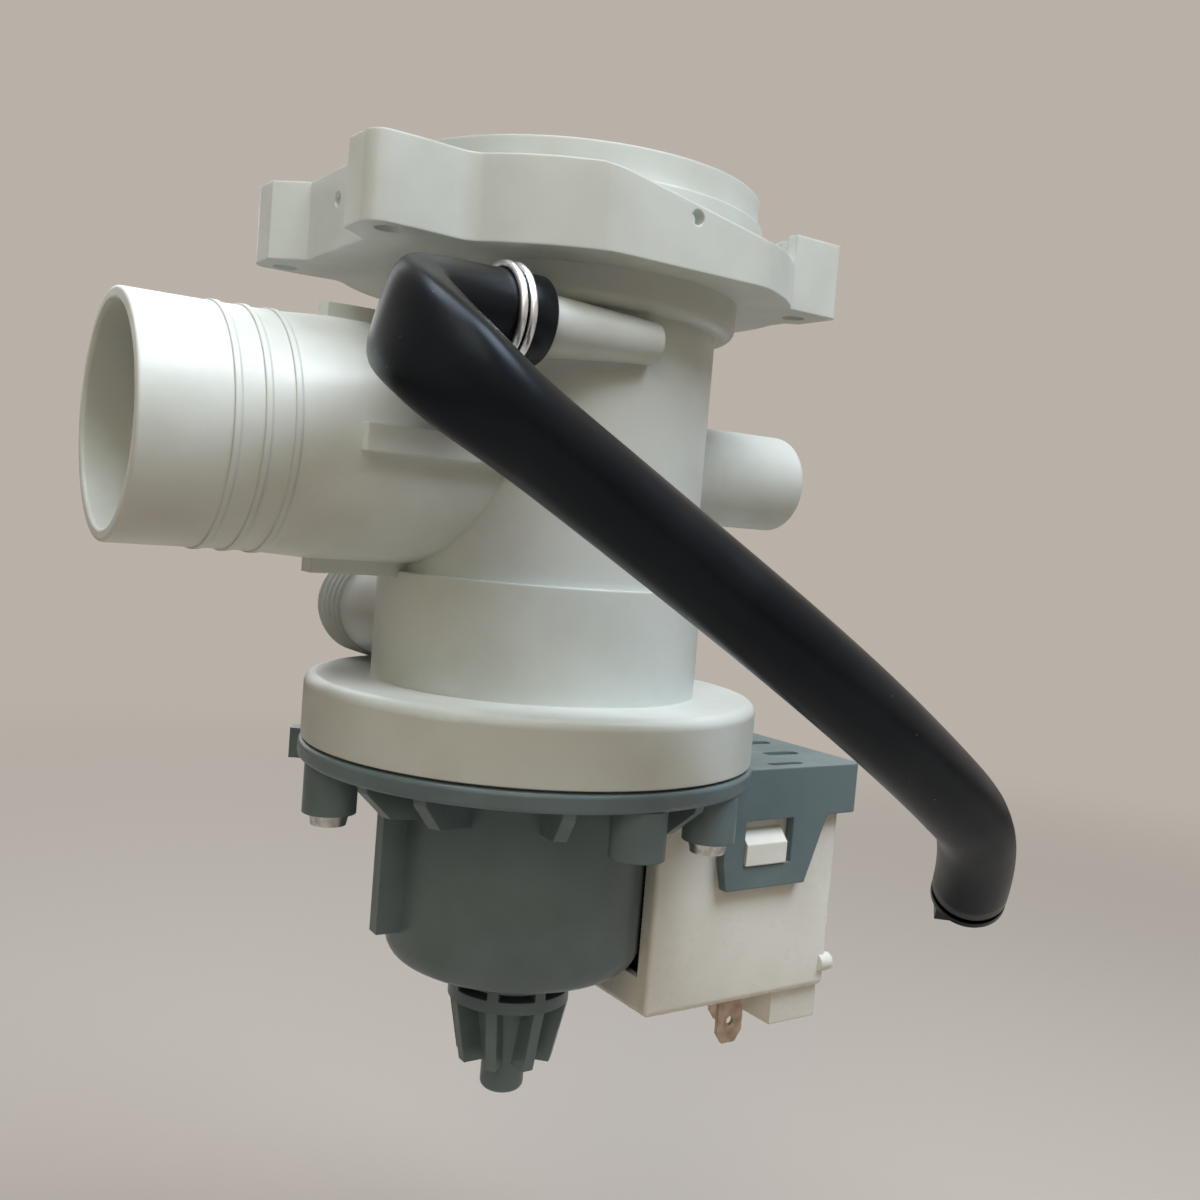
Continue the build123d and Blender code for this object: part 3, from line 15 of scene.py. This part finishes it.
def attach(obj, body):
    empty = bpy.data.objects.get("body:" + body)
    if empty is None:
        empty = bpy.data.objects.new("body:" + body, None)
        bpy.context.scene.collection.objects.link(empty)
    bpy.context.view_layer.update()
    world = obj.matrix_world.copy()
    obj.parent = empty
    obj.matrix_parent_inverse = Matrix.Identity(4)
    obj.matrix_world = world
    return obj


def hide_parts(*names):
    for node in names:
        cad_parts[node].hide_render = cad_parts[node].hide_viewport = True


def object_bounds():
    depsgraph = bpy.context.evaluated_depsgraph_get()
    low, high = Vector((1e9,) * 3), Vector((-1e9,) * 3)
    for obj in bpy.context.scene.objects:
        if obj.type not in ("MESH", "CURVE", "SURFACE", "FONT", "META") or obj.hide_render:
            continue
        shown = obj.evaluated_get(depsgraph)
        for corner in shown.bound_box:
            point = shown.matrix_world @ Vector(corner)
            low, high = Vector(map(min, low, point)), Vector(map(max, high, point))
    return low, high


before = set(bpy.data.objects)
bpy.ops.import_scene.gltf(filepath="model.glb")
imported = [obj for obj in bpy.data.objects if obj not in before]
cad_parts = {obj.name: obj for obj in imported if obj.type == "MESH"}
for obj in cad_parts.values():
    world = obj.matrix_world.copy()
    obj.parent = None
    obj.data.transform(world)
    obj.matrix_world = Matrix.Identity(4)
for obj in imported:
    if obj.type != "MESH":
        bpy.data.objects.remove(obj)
cad_low, cad_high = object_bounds()
mm = 0.001
print("nodes", len(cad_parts), "size in mm", [round(side / mm, 1) for side in cad_high - cad_low])

# %% [markdown]
# ## The camera first
# The photograph was taken from very near, about 220 mm from the middle of the pump, so the inlet looms large
# and the nose of the motor shrinks. A long lens could never give that, so the camera stands at the real
# distance. Its place, its direction and its slight roll come from fitting the circles and edges of the
# housing. The focal length is an assumption, close to the width of the frame, and the fit was made around it.

# %% Place the camera
camera_place = Vector((-121.22, -197.81, -55.5)) * mm
look_azimuth = math.radians(55.64)
look_elevation = math.radians(-3.49)
camera_roll = math.radians(4.68)
frame_pixels = 1200
focal_pixels = 1220
sensor_width = 36

look = Vector((
    math.cos(look_elevation) * math.cos(look_azimuth),
    math.cos(look_elevation) * math.sin(look_azimuth),
    math.sin(look_elevation),
))
level_right = look.cross(Vector((0, 0, 1))).normalized()
level_up = level_right.cross(look)
right = level_right * math.cos(camera_roll) + level_up * math.sin(camera_roll)
up = right.cross(look)

camera_data = bpy.data.cameras.new("camera")
camera_data.sensor_width = sensor_width
camera_data.lens = sensor_width * focal_pixels / frame_pixels
camera_data.clip_start = 5 * mm
camera = bpy.data.objects.new("camera", camera_data)
camera.rotation_mode = "QUATERNION"
camera.rotation_quaternion = Matrix((right, up, -look)).transposed().to_quaternion()
camera.location = camera_place
bpy.context.scene.collection.objects.link(camera)
bpy.context.scene.camera = camera
bpy.context.scene.view_settings.view_transform = "Standard"
print("lens in mm", round(camera_data.lens, 2))

# %% [markdown]
# ## Two small tools for finishes
# Colours are picked on screen, so they are sRGB hex values, while a renderer adds light in linear values.
# One function turns the first into the second. A material is a tree of nodes, and one function adds a node
# with its settings and its links, so that each finish below reads as a recipe.

# %% Colour and node helpers
def linear(hex_colour):
    """An sRGB hex value, such as "#DDE0DA", as the linear RGBA that a colour socket wants."""
    channels = [int(hex_colour[place:place + 2], 16) / 255 for place in (1, 3, 5)]
    return [c / 12.92 if c <= 0.04045 else ((c + 0.055) / 1.055) ** 2.4 for c in channels] + [1.0]


def add(tree, kind, settings=(), inputs=()):
    """Adds a node of that kind, sets its settings, and fills or links its inputs."""
    made = tree.nodes.new(kind)
    for name, value in dict(settings).items():
        setattr(made, name, value)
    for name, value in dict(inputs).items():
        if isinstance(value, bpy.types.NodeSocket):
            tree.links.new(value, made.inputs[name])
        else:
            made.inputs[name].default_value = value
    return made


def per(spacing_mm):
    """The texture scale at which a pattern repeats about every so many millimetres."""
    return 1 / (spacing_mm * mm)


def new_finish(name):
    """An empty material: itself, its node tree and its surface shader."""
    finish = bpy.data.materials.new(name)
    finish.use_nodes = True
    return finish, finish.node_tree, finish.node_tree.nodes["Principled BSDF"]


# %% [markdown]
# ## Stage and light
# Soft and slightly cool light falls from high above, to the right of the camera. Warmer light comes back
# from the left, so whatever faces left or down is darker and less blue. A floor lies well below the pump, so
# that it doesn't seem to stand on its nose. Far from the pump it turns into the colour that the world shows
# to the camera, so there is no horizon. A lamp behind the pump and a weak world open the shadows for the
# other views. The floor shows pale, but the light that it throws back up is a little darker and browner,
# which keeps the undersides of the pump warm.

# %% Floor and world
backdrop = "#B9B1A8"
bounce_colour = "#A39688"
room_colour = "#E8D8C4"
room_strength = 0.07
floor_drop = 95 * mm
floor_radius = 4.0
floor_sides = 96
floor_roughness = 0.9
fade_start = 0.30
fade_end = 1.05

floor_mesh = bpy.data.meshes.new("floor")
form = bmesh.new()
bmesh.ops.create_circle(form, cap_ends=True, segments=floor_sides, radius=floor_radius)
form.to_mesh(floor_mesh)
form.free()
floor = bpy.data.objects.new("floor", floor_mesh)
floor.location.z = cad_low.z - floor_drop
bpy.context.scene.collection.objects.link(floor)

finish, tree, surface = new_finish("painted_board")
surface.inputs["Roughness"].default_value = floor_roughness
spot = add(tree, "ShaderNodeTexCoord").outputs["Object"]
reach = add(tree, "ShaderNodeVectorMath", {"operation": "LENGTH"}, {0: spot}).outputs["Value"]
fade = add(tree, "ShaderNodeMapRange", {"interpolation_type": "SMOOTHSTEP"}, {
    "Value": reach, "From Min": fade_start, "From Max": fade_end})
rays = add(tree, "ShaderNodeLightPath")
paint = add(tree, "ShaderNodeMix", {"data_type": "RGBA"}, {
    0: rays.outputs["Is Diffuse Ray"], 6: linear(backdrop), 7: linear(bounce_colour)})
tree.links.new(paint.outputs[2], surface.inputs["Base Color"])
seen = add(tree, "ShaderNodeMath", {"operation": "MULTIPLY"}, {
    0: fade.outputs["Result"], 1: rays.outputs["Is Camera Ray"]})
plain = add(tree, "ShaderNodeEmission", inputs={"Color": linear(backdrop), "Strength": 1.0})
mixed = add(tree, "ShaderNodeMixShader", inputs={
    0: seen.outputs["Value"], 1: surface.outputs["BSDF"], 2: plain.outputs["Emission"]})
tree.links.new(mixed.outputs["Shader"], tree.nodes["Material Output"].inputs["Surface"])
floor_mesh.materials.append(finish)

world = bpy.data.worlds.new("room")
world.use_nodes = True
bpy.context.scene.world = world
tree = world.node_tree
rays = add(tree, "ShaderNodeLightPath")
camera_or_gloss = add(tree, "ShaderNodeMath", {"operation": "MAXIMUM"}, {
    0: rays.outputs["Is Camera Ray"], 1: rays.outputs["Is Glossy Ray"]})
direct = add(tree, "ShaderNodeMath", {"operation": "MAXIMUM"}, {
    0: camera_or_gloss.outputs["Value"], 1: rays.outputs["Is Transmission Ray"]})
lit = add(tree, "ShaderNodeBackground", inputs={"Color": linear(room_colour), "Strength": room_strength})
shown = add(tree, "ShaderNodeBackground", inputs={"Color": linear(backdrop), "Strength": 1.0})
mixed = add(tree, "ShaderNodeMixShader", inputs={
    0: direct.outputs["Value"], 1: lit.outputs["Background"], 2: shown.outputs["Background"]})
tree.links.new(mixed.outputs["Shader"], tree.nodes["World Output"].inputs["Surface"])
print("floor at mm", round(floor.location.z / mm, 1))

# %% Lamps
pump_middle = (cad_low + cad_high) / 2


def soft_lamp(name, place_mm, side_mm, watts, colour):
    """A square lamp that faces the middle of the pump."""
    lamp_data = bpy.data.lights.new(name, "AREA")
    lamp_data.size = side_mm * mm
    lamp_data.energy = watts
    lamp_data.color = linear(colour)[:3]
    lamp = bpy.data.objects.new(name, lamp_data)
    lamp.location = Vector(place_mm) * mm
    lamp.rotation_mode = "QUATERNION"
    lamp.rotation_quaternion = (pump_middle - lamp.location).to_track_quat("-Z", "Y")
    bpy.context.scene.collection.objects.link(lamp)


soft_lamp("daylight", place_mm=(230, -470, 740), side_mm=480, watts=8.0, colour="#EEF6FF")
soft_lamp("warm_side", place_mm=(-560, -620, 520), side_mm=520, watts=2.3, colour="#FFF1D6")
soft_lamp("ceiling", place_mm=(-200, -100, 780), side_mm=460, watts=5.6, colour="#F6FAFF")
soft_lamp("back_fill", place_mm=(120, 800, 380), side_mm=800, watts=3.0, colour="#F6F8FF")

# %% [markdown]
# ## Moulded plastic
# Most of the pump is injection-moulded polypropylene. The mould was spark-eroded, which leaves a fine grain
# that softens the highlight, and the melt cools unevenly, so the surface waves a little over ten
# millimetres and the colour drifts. Handling leaves faint grey smears. No moulded edge is truly sharp, so a
# small rounding of the edges catches the light. One recipe covers the polypropylene, the glass-filled motor
# housing and the small white pieces, with other colours and roughness.

# %% A recipe for moulded plastic
edge_round = 0.4 * mm
fleck_mm = 0.9
blotch_mm = 6
wave_mm = 11
wave_depth = 0.25 * mm


def moulded_plastic(
        name, colour, drift_colour, roughness, grain_mm=0.7, drift_mm=16, depth_mm=0.012, fibre=0.0):
    """Grained plastic that drifts and flecks towards a second colour. Fibre makes the flecks plainer."""
    finish, tree, surface = new_finish(name)
    spot = add(tree, "ShaderNodeTexCoord").outputs["Object"]
    drift = add(tree, "ShaderNodeTexNoise", inputs={"Vector": spot, "Scale": per(drift_mm), "Detail": 4.0})
    share = add(tree, "ShaderNodeMapRange", inputs={
        "Value": drift.outputs["Fac"], "From Min": 0.42, "From Max": 0.68})
    tint = add(tree, "ShaderNodeMix", {"data_type": "RGBA"}, {
        0: share.outputs["Result"], 6: linear(colour), 7: linear(drift_colour)})
    speckle = add(tree, "ShaderNodeTexNoise", inputs={"Vector": spot, "Scale": per(fleck_mm), "Detail": 2.0})
    fleck = add(tree, "ShaderNodeMapRange", inputs={
        "Value": speckle.outputs["Fac"], "From Min": 0.70, "From Max": 0.80, "To Max": 0.25 + fibre})
    marked = add(tree, "ShaderNodeMix", {"data_type": "RGBA"}, {
        0: fleck.outputs["Result"], 6: tint.outputs[2], 7: linear(drift_colour)})
    tree.links.new(marked.outputs[2], surface.inputs["Base Color"])
    patch = add(tree, "ShaderNodeTexNoise", inputs={"Vector": spot, "Scale": per(blotch_mm), "Detail": 3.0})
    gloss = add(tree, "ShaderNodeMapRange", inputs={
        "Value": patch.outputs["Fac"], "From Min": 0.3, "From Max": 0.7,
        "To Min": roughness - 0.05, "To Max": roughness + 0.07})
    tree.links.new(gloss.outputs["Result"], surface.inputs["Roughness"])
    grain = add(tree, "ShaderNodeTexNoise", inputs={"Vector": spot, "Scale": per(grain_mm), "Detail": 2.0})
    wave = add(tree, "ShaderNodeTexNoise", inputs={"Vector": spot, "Scale": per(wave_mm), "Detail": 1.0})
    edges = add(tree, "ShaderNodeBevel", {"samples": 4}, {"Radius": edge_round})
    waved = add(tree, "ShaderNodeBump", inputs={
        "Strength": 0.35, "Distance": wave_depth, "Height": wave.outputs["Fac"],
        "Normal": edges.outputs["Normal"]})
    grained = add(tree, "ShaderNodeBump", inputs={
        "Strength": 0.6, "Distance": depth_mm * mm, "Height": grain.outputs["Fac"],
        "Normal": waved.outputs["Normal"]})
    tree.links.new(grained.outputs["Normal"], surface.inputs["Normal"])
    surface.inputs["IOR"].default_value = 1.49
    return finish


# Natural polypropylene lets a little light in, so its edges look soft and its shadows aren't quite grey
natural_polypropylene = moulded_plastic("natural_polypropylene", "#D8DEDA", "#CFD4CE", 0.36)
glow = natural_polypropylene.node_tree.nodes["Principled BSDF"]
glow.inputs["Subsurface Weight"].default_value = 0.12
glow.inputs["Subsurface Scale"].default_value = 1.5 * mm
glow.inputs["Subsurface Radius"].default_value = (1.0, 0.9, 0.75)

# Glass fibres come up at the surface of the motor housing, which looks drier and slightly streaked
blue_grey_polypropylene = moulded_plastic(
    "blue_grey_polypropylene", "#6A7C80", "#5F6F72", 0.36, grain_mm=0.5, depth_mm=0.02, fibre=0.2)
# The coil cover is a warmer white, and shines a little more than the pump housing
cream_polyester = moulded_plastic("cream_polyester", "#EDEEE8", "#E6E6DD", 0.30)
# The cap's dark grey hides lint and fingerprints
dark_grey_polypropylene = moulded_plastic("dark_grey_polypropylene", "#4A4E50", "#414547", 0.42)
# Acetal for what slides in water: cage, impeller, sleeve, bobbins and the bearing plate
white_acetal = moulded_plastic("white_acetal", "#E8E9E6", "#DFE0DC", 0.32, drift_mm=20)
black_polyamide = moulded_plastic("black_polyamide", "#1B1C1D", "#242526", 0.45)
plastic_endings = ("propylene", "ester", "acetal", "amide")
print("plastics", [m.name for m in bpy.data.materials if m.name.endswith(plastic_endings)])

# %% [markdown]
# ## Rubber
# The hose is extruded EPDM, black and smooth, and it shines softly along its length. It picks up lint and
# dust, which lie in drifts and show as a few pale specks. The seals and the bearing holders are the same
# rubber, pressed in a mould, and matt. The specks are drawn as the middles of cells: a cell's middle that
# lies on the surface shows as a dot, and most middles lie deeper or higher and show nothing.

# %% Rubber finishes
haze_colour = "#6A6C70"
dust_colour = "#A9ABAC"
sheen_colour = "#C4D8EA"
bloom_mm = 18
smear_mm = 7
skin_mm = 0.8


def rubber(name, colour, roughness, speck_mm, speck_size):
    """Black rubber with a faint haze. One speck of dust at most lies in each cell of speck_mm."""
    finish, tree, surface = new_finish(name)
    spot = add(tree, "ShaderNodeTexCoord").outputs["Object"]
    bloom = add(tree, "ShaderNodeTexNoise", inputs={"Vector": spot, "Scale": per(bloom_mm), "Detail": 4.0})
    haze = add(tree, "ShaderNodeMapRange", inputs={
        "Value": bloom.outputs["Fac"], "From Min": 0.4, "From Max": 0.75, "To Max": 0.04})
    body = add(tree, "ShaderNodeMix", {"data_type": "RGBA"}, {
        0: haze.outputs["Result"], 6: linear(colour), 7: linear(haze_colour)})
    cells = add(tree, "ShaderNodeTexVoronoi", inputs={"Vector": spot, "Scale": per(speck_mm)})
    dust = add(tree, "ShaderNodeMapRange", inputs={
        "Value": cells.outputs["Distance"], "From Min": speck_size * 0.6, "From Max": speck_size,
        "To Min": 0.6, "To Max": 0.0})
    drifted = add(tree, "ShaderNodeMapRange", inputs={
        "Value": bloom.outputs["Fac"], "From Min": 0.45, "From Max": 0.62})
    settled = add(tree, "ShaderNodeMath", {"operation": "MULTIPLY"}, {
        0: dust.outputs["Result"], 1: drifted.outputs["Result"]})
    dusty = add(tree, "ShaderNodeMix", {"data_type": "RGBA"}, {
        0: settled.outputs["Value"], 6: body.outputs[2], 7: linear(dust_colour)})
    tree.links.new(dusty.outputs[2], surface.inputs["Base Color"])
    smear = add(tree, "ShaderNodeTexNoise", inputs={"Vector": spot, "Scale": per(smear_mm), "Detail": 3.0})
    gloss = add(tree, "ShaderNodeMapRange", inputs={
        "Value": smear.outputs["Fac"], "To Min": roughness - 0.06, "To Max": roughness + 0.08})
    tree.links.new(gloss.outputs["Result"], surface.inputs["Roughness"])
    skin = add(tree, "ShaderNodeTexNoise", inputs={"Vector": spot, "Scale": per(skin_mm), "Detail": 3.0})
    relief = add(tree, "ShaderNodeBump", inputs={
        "Strength": 0.4, "Distance": 0.02 * mm, "Height": skin.outputs["Fac"]})
    tree.links.new(relief.outputs["Normal"], surface.inputs["Normal"])
    surface.inputs["IOR"].default_value = 1.52
    surface.inputs["Specular IOR Level"].default_value = 0.26
    surface.inputs["Specular Tint"].default_value = linear(sheen_colour)
    return finish


extruded_rubber = rubber("extruded_rubber", "#07090D", 0.33, speck_mm=3.4, speck_size=0.05)
moulded_rubber = rubber("moulded_rubber", "#17181A", 0.52, speck_mm=4.0, speck_size=0.05)
print("rubbers made")

# %% [markdown]
# ## Metals
# Spring wire is drawn and zinc plated: bright, with fine lines along it. The screws have the same plating.
# The spade terminals are brass under thin tin that has gone brown. The shaft is ground stainless steel.
# The stator is a stack of half-millimetre sheets, whose cut edges show as lines, and the windings are
# enamelled copper wire, whose turns are drawn as waves, because no one sees a single turn here.

# %% Metal finishes
scratch_mm = 0.35


def metal(name, colour, stain, stain_share, roughness, patch_mm=3):
    """Bare metal with patches of a stain and fine scratches."""
    finish, tree, surface = new_finish(name)
    spot = add(tree, "ShaderNodeTexCoord").outputs["Object"]
    patch = add(tree, "ShaderNodeTexNoise", inputs={"Vector": spot, "Scale": per(patch_mm), "Detail": 4.0})
    share = add(tree, "ShaderNodeMapRange", inputs={
        "Value": patch.outputs["Fac"], "From Min": 0.4, "From Max": 0.7, "To Max": stain_share})
    tone = add(tree, "ShaderNodeMix", {"data_type": "RGBA"}, {
        0: share.outputs["Result"], 6: linear(colour), 7: linear(stain)})
    tree.links.new(tone.outputs[2], surface.inputs["Base Color"])
    surface.inputs["Metallic"].default_value = 1.0
    gloss = add(tree, "ShaderNodeMapRange", inputs={
        "Value": patch.outputs["Fac"], "From Min": 0.3, "From Max": 0.7,
        "To Min": roughness - 0.04, "To Max": roughness + 0.1})
    tree.links.new(gloss.outputs["Result"], surface.inputs["Roughness"])
    scratch = add(tree, "ShaderNodeTexNoise", inputs={
        "Vector": spot, "Scale": per(scratch_mm), "Detail": 2.0})
    relief = add(tree, "ShaderNodeBump", inputs={
        "Strength": 0.3, "Distance": 0.01 * mm, "Height": scratch.outputs["Fac"]})
    tree.links.new(relief.outputs["Normal"], surface.inputs["Normal"])
    return finish


def banded(name, colour, gap_colour, band_mm, metallic, roughness):
    """Bands across Z, for sheets in a stack or turns of wire."""
    finish, tree, surface = new_finish(name)
    spot = add(tree, "ShaderNodeTexCoord").outputs["Object"]
    # A wave texture repeats every pi / 10 of its coordinate at scale 1
    bands = add(tree, "ShaderNodeTexWave", {"bands_direction": "Z"}, {
        "Vector": spot, "Scale": per(band_mm) * math.pi / 10, "Distortion": 0.4, "Detail": 1.0})
    tone = add(tree, "ShaderNodeMix", {"data_type": "RGBA"}, {
        0: bands.outputs["Fac"], 6: linear(gap_colour), 7: linear(colour)})
    tree.links.new(tone.outputs[2], surface.inputs["Base Color"])
    relief = add(tree, "ShaderNodeBump", inputs={
        "Strength": 0.5, "Distance": 0.1 * mm, "Height": bands.outputs["Fac"]})
    tree.links.new(relief.outputs["Normal"], surface.inputs["Normal"])
    surface.inputs["Metallic"].default_value = metallic
    surface.inputs["Roughness"].default_value = roughness
    return finish


zinc_spring_wire = metal(
    "zinc_spring_wire", "#F2F4F6", "#D2D4D6", stain_share=0.5, roughness=0.30, patch_mm=1.2)
zinc_screw_steel = metal(
    "zinc_screw_steel", "#C9C8C4", "#77746C", stain_share=0.7, roughness=0.30, patch_mm=1.5)
tarnished_tin = metal(
    "tarnished_tin", "#B8A48F", "#8A7460", stain_share=0.8, roughness=0.38, patch_mm=2.5)
ground_stainless = metal(
    "ground_stainless", "#C9CACC", "#B4B5B8", stain_share=0.4, roughness=0.18)
stacked_steel = banded(
    "stacked_steel", "#7C7D80", "#3A3A3C", band_mm=1.0, metallic=1.0, roughness=0.45)
# Enamel over copper is a coloured gloss, so it isn't rendered as bare metal
enamelled_copper = banded(
    "enamelled_copper", "#B0602C", "#6A3414", band_mm=0.8, metallic=0.3, roughness=0.3)
print("metals made")

# %% [markdown]
# ## Ceramics
# The bearings are fine-grained fired ceramic, ground smooth. The ring magnet is ferrite, which is a fired
# ceramic too, dark grey and slightly grainy. Both are harder and duller than the plastic round them.

# %% Ceramic finishes
bearing_ceramic = moulded_plastic("bearing_ceramic", "#D8D2C4", "#CBC4B4", 0.25, grain_mm=0.6, depth_mm=0.005)
sintered_ferrite = moulded_plastic(
    "sintered_ferrite", "#2C2D30", "#37383B", 0.55, grain_mm=0.9, depth_mm=0.03)
print("ceramics made")

# %% [markdown]
# ## Each node gets its finish
# The solids keep their shapes, so it is enough to put the finish in their material slots.

# %% Hand out the finishes
finish_of = {
    natural_polypropylene: ["pump_housing"],
    blue_grey_polypropylene: ["motor_housing"],
    cream_polyester: ["coil_cover"],
    dark_grey_polypropylene: ["filter_cap"],
    white_acetal: [
        "filter_cage", "impeller", "impeller_lid", "drive_dog", "magnet_sleeve", "coil_bobbins",
        "bearing_plate"],
    black_polyamide: ["thermal_cutout", "thrust_washer"],
    extruded_rubber: ["drain_hose", "hose_plug"],
    moulded_rubber: ["filter_seal", "housing_seal", "front_grommet", "rear_grommet"],
    zinc_spring_wire: ["hose_clamp"],
    zinc_screw_steel: ["flange_screws"],
    tarnished_tin: ["terminals"],
    ground_stainless: ["rotor_shaft"],
    stacked_steel: ["stator_core"],
    enamelled_copper: ["coil_windings"],
    bearing_ceramic: ["front_bearing", "rear_bearing"],
    sintered_ferrite: ["rotor_magnet"],
}
for finish, nodes in finish_of.items():
    for node in nodes:
        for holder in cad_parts[node].material_slots:
            holder.material = finish
finished = sum(len(nodes) for nodes in finish_of.values())
print("finished nodes", finished, "of", len(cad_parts))

# %% [markdown]
# ## The drain hose
# The hose leaves its nipple, folds back on itself within two diameters, crosses the pump in front and bends
# down to its stopper. A rubber hose keeps its round section only while it is straight: where it folds, its
# wall flattens across the bend and gets wider. A curve with a round bevel can't do that, so the hose is a
# mesh of rings. The rings follow a smooth NURBS line through the same route as the solid hose.

# %% The line of the hose
hose_route = [
    (-22.8, -30.0, -24.5),
    (-48.6, -30.0, -24.5),
    (-49.8, -53.0, -36.2),
    (-19.7, -52.1, -52.1),
    (16.0, -63.2, -76.6),
    (45.7, -62.4, -95.2),
    (63.1, -58.1, -106.0),
    (70.9, -49.9, -119.3),
]
line_data = bpy.data.curves.new("hose_line", "CURVE")
line_data.dimensions = "3D"
line_data.resolution_u = 20
spline = line_data.splines.new("NURBS")
spline.points.add(len(hose_route) - 1)
for point, place in zip(spline.points, hose_route):
    point.co = (*(Vector(place) * mm), 1)
spline.order_u = 3
spline.use_endpoint_u = True
line_object = bpy.data.objects.new("hose_line", line_data)
line_mesh = bpy.data.meshes.new_from_object(line_object)
hose_line = [vertex.co.copy() for vertex in line_mesh.vertices]
bpy.data.objects.remove(line_object)

# %% Rings along the line
hose_radius = 7.0 * mm
hose_bore = 4.7 * mm
hose_edge = 0.5 * mm
ring_points = 48


def ring_frames(line):
    """At each point of the line: the way along it, and two ways across that don't twist from ring to ring."""
    ways = []
    for place in range(len(line)):
        before = line[max(place - 1, 0)]
        after = line[min(place + 1, len(line) - 1)]
        ways.append((after - before).normalized())
    across = Vector((0, 0, 1)).cross(ways[0]).normalized()
    frames = []
    for way in ways:
        across = (across - way * across.dot(way)).normalized()
        frames.append((way, across, way.cross(across)))
    return frames


def turn_at(line, place):
    """The curvature of the line at a point, per metre, as a vector towards the inside of the bend."""
    if place in (0, len(line) - 1):
        return Vector()
    first = line[place] - line[place - 1]
    second = line[place + 1] - line[place]
    return (second.normalized() - first.normalized()) / ((first.length + second.length) / 2)


frames = ring_frames(hose_line)
bends = [turn_at(hose_line, place) for place in range(len(hose_line))]
# The curvature is averaged over this many points on each side, so that the section changes gradually
smooth_span = 7
smooth_bends = []
for place in range(len(bends)):
    near = bends[max(place - smooth_span, 0):place + smooth_span + 1]
    smooth_bends.append(sum(near, Vector()) / len(near))
print("sharpest bend radius in mm", round(1 / max(bend.length for bend in smooth_bends) / mm, 1))

flatten_share = 0.38
widen_share = 0.16
round_power = 2
square_power = 1.6
full_bend_radius = 13 * mm


def ring(place, radius, shift=0.0):
    """One ring of the hose: where it bends it is flatter across the bend, wider beside it, and squarer."""
    way, across, upward = frames[place]
    bend = smooth_bends[place]
    strength = min(bend.length * full_bend_radius, 1.0) ** 2
    inward = bend.normalized() if bend.length > 0 else across
    power = round_power + square_power * strength
    points = []
    for index in range(ring_points):
        angle = 2 * math.pi * index / ring_points
        offset = across * math.cos(angle) + upward * math.sin(angle)
        depth = offset.dot(inward)
        side = offset - inward * depth
        swell = (abs(depth) ** power + side.length ** power) ** (-1 / power)
        flat = inward * depth * (1 - flatten_share * strength)
        wide = side * (1 + widen_share * strength)
        points.append(hose_line[place] + way * shift + (flat + wide) * swell * radius)
    return points


last = len(hose_line) - 1
skin_rings = [ring(0, hose_bore), ring(0, hose_radius - hose_edge), ring(0, hose_radius, hose_edge)]
skin_rings += [ring(place, hose_radius) for place in range(2, last - 1)]
skin_rings += [
    ring(last, hose_radius, -hose_edge), ring(last, hose_radius - hose_edge), ring(last, hose_bore)]
skin_rings += [ring(place, hose_bore) for place in range(last - 2, 1, -1)]
form = bmesh.new()
loops = [[form.verts.new(point) for point in points] for points in skin_rings]
for first, second in zip(loops, loops[1:] + loops[:1]):
    for index in range(ring_points):
        after = (index + 1) % ring_points
        form.faces.new((first[index], first[after], second[after], second[index]))
bmesh.ops.recalc_face_normals(form, faces=form.faces)
for face in form.faces:
    face.smooth = True
hose_mesh = bpy.data.meshes.new("hose")
form.to_mesh(hose_mesh)
form.free()
hose = bpy.data.objects.new("hose", hose_mesh)
bpy.context.scene.collection.objects.link(hose)
hose_mesh.materials.append(extruded_rubber)
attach(hose, "housing")
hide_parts("drain_hose")
print("hose faces", len(hose_mesh.polygons))

# %% [markdown]
# ## Deeper gussets
# Under the ring, thin gussets run from the rim to the can. The photograph shows their lower edges hanging
# well below the ring, so each one gets a deeper plate here, at the spot of the solid one.

# %% The plates under the ring
gusset_angles = (-161.5, -145.0, -111.0, -75.0, 150.0, 105.0, 75.0)
ring_bottom = -101.5 * mm
gusset_half = 1.15 * mm
gusset_root = 24.0
gusset_rim = 41.6
gusset_lip = 41.2
gusset_knee = 35.5
seat_depth = 0.5
lip_drop = 1.2
knee_drop = 6.2
root_drop = 8.0
# Corners as distance from the pump axis and height over the ring's lower face, in millimetres
gusset_outline = [
    (gusset_root, seat_depth),
    (gusset_rim, seat_depth),
    (gusset_lip, -lip_drop),
    (gusset_knee, -knee_drop),
    (gusset_root, -root_drop),
]

form = bmesh.new()
for angle in gusset_angles:
    turn = Matrix.Rotation(math.radians(angle), 4, "Z")
    near = []
    far = []
    for reach, height in gusset_outline:
        near.append(form.verts.new(turn @ Vector((reach * mm, -gusset_half, ring_bottom + height * mm))))
        far.append(form.verts.new(turn @ Vector((reach * mm, gusset_half, ring_bottom + height * mm))))
    form.faces.new(near)
    form.faces.new(far[::-1])
    for index in range(len(near)):
        after = (index + 1) % len(near)
        form.faces.new((near[index], far[index], far[after], near[after]))
bmesh.ops.recalc_face_normals(form, faces=form.faces)
gusset_mesh = bpy.data.meshes.new("gussets")
form.to_mesh(gusset_mesh)
form.free()
gussets = bpy.data.objects.new("gussets", gusset_mesh)
bpy.context.scene.collection.objects.link(gussets)
gusset_mesh.materials.append(blue_grey_polypropylene)
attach(gussets, "housing")
print("gussets", len(gusset_angles))
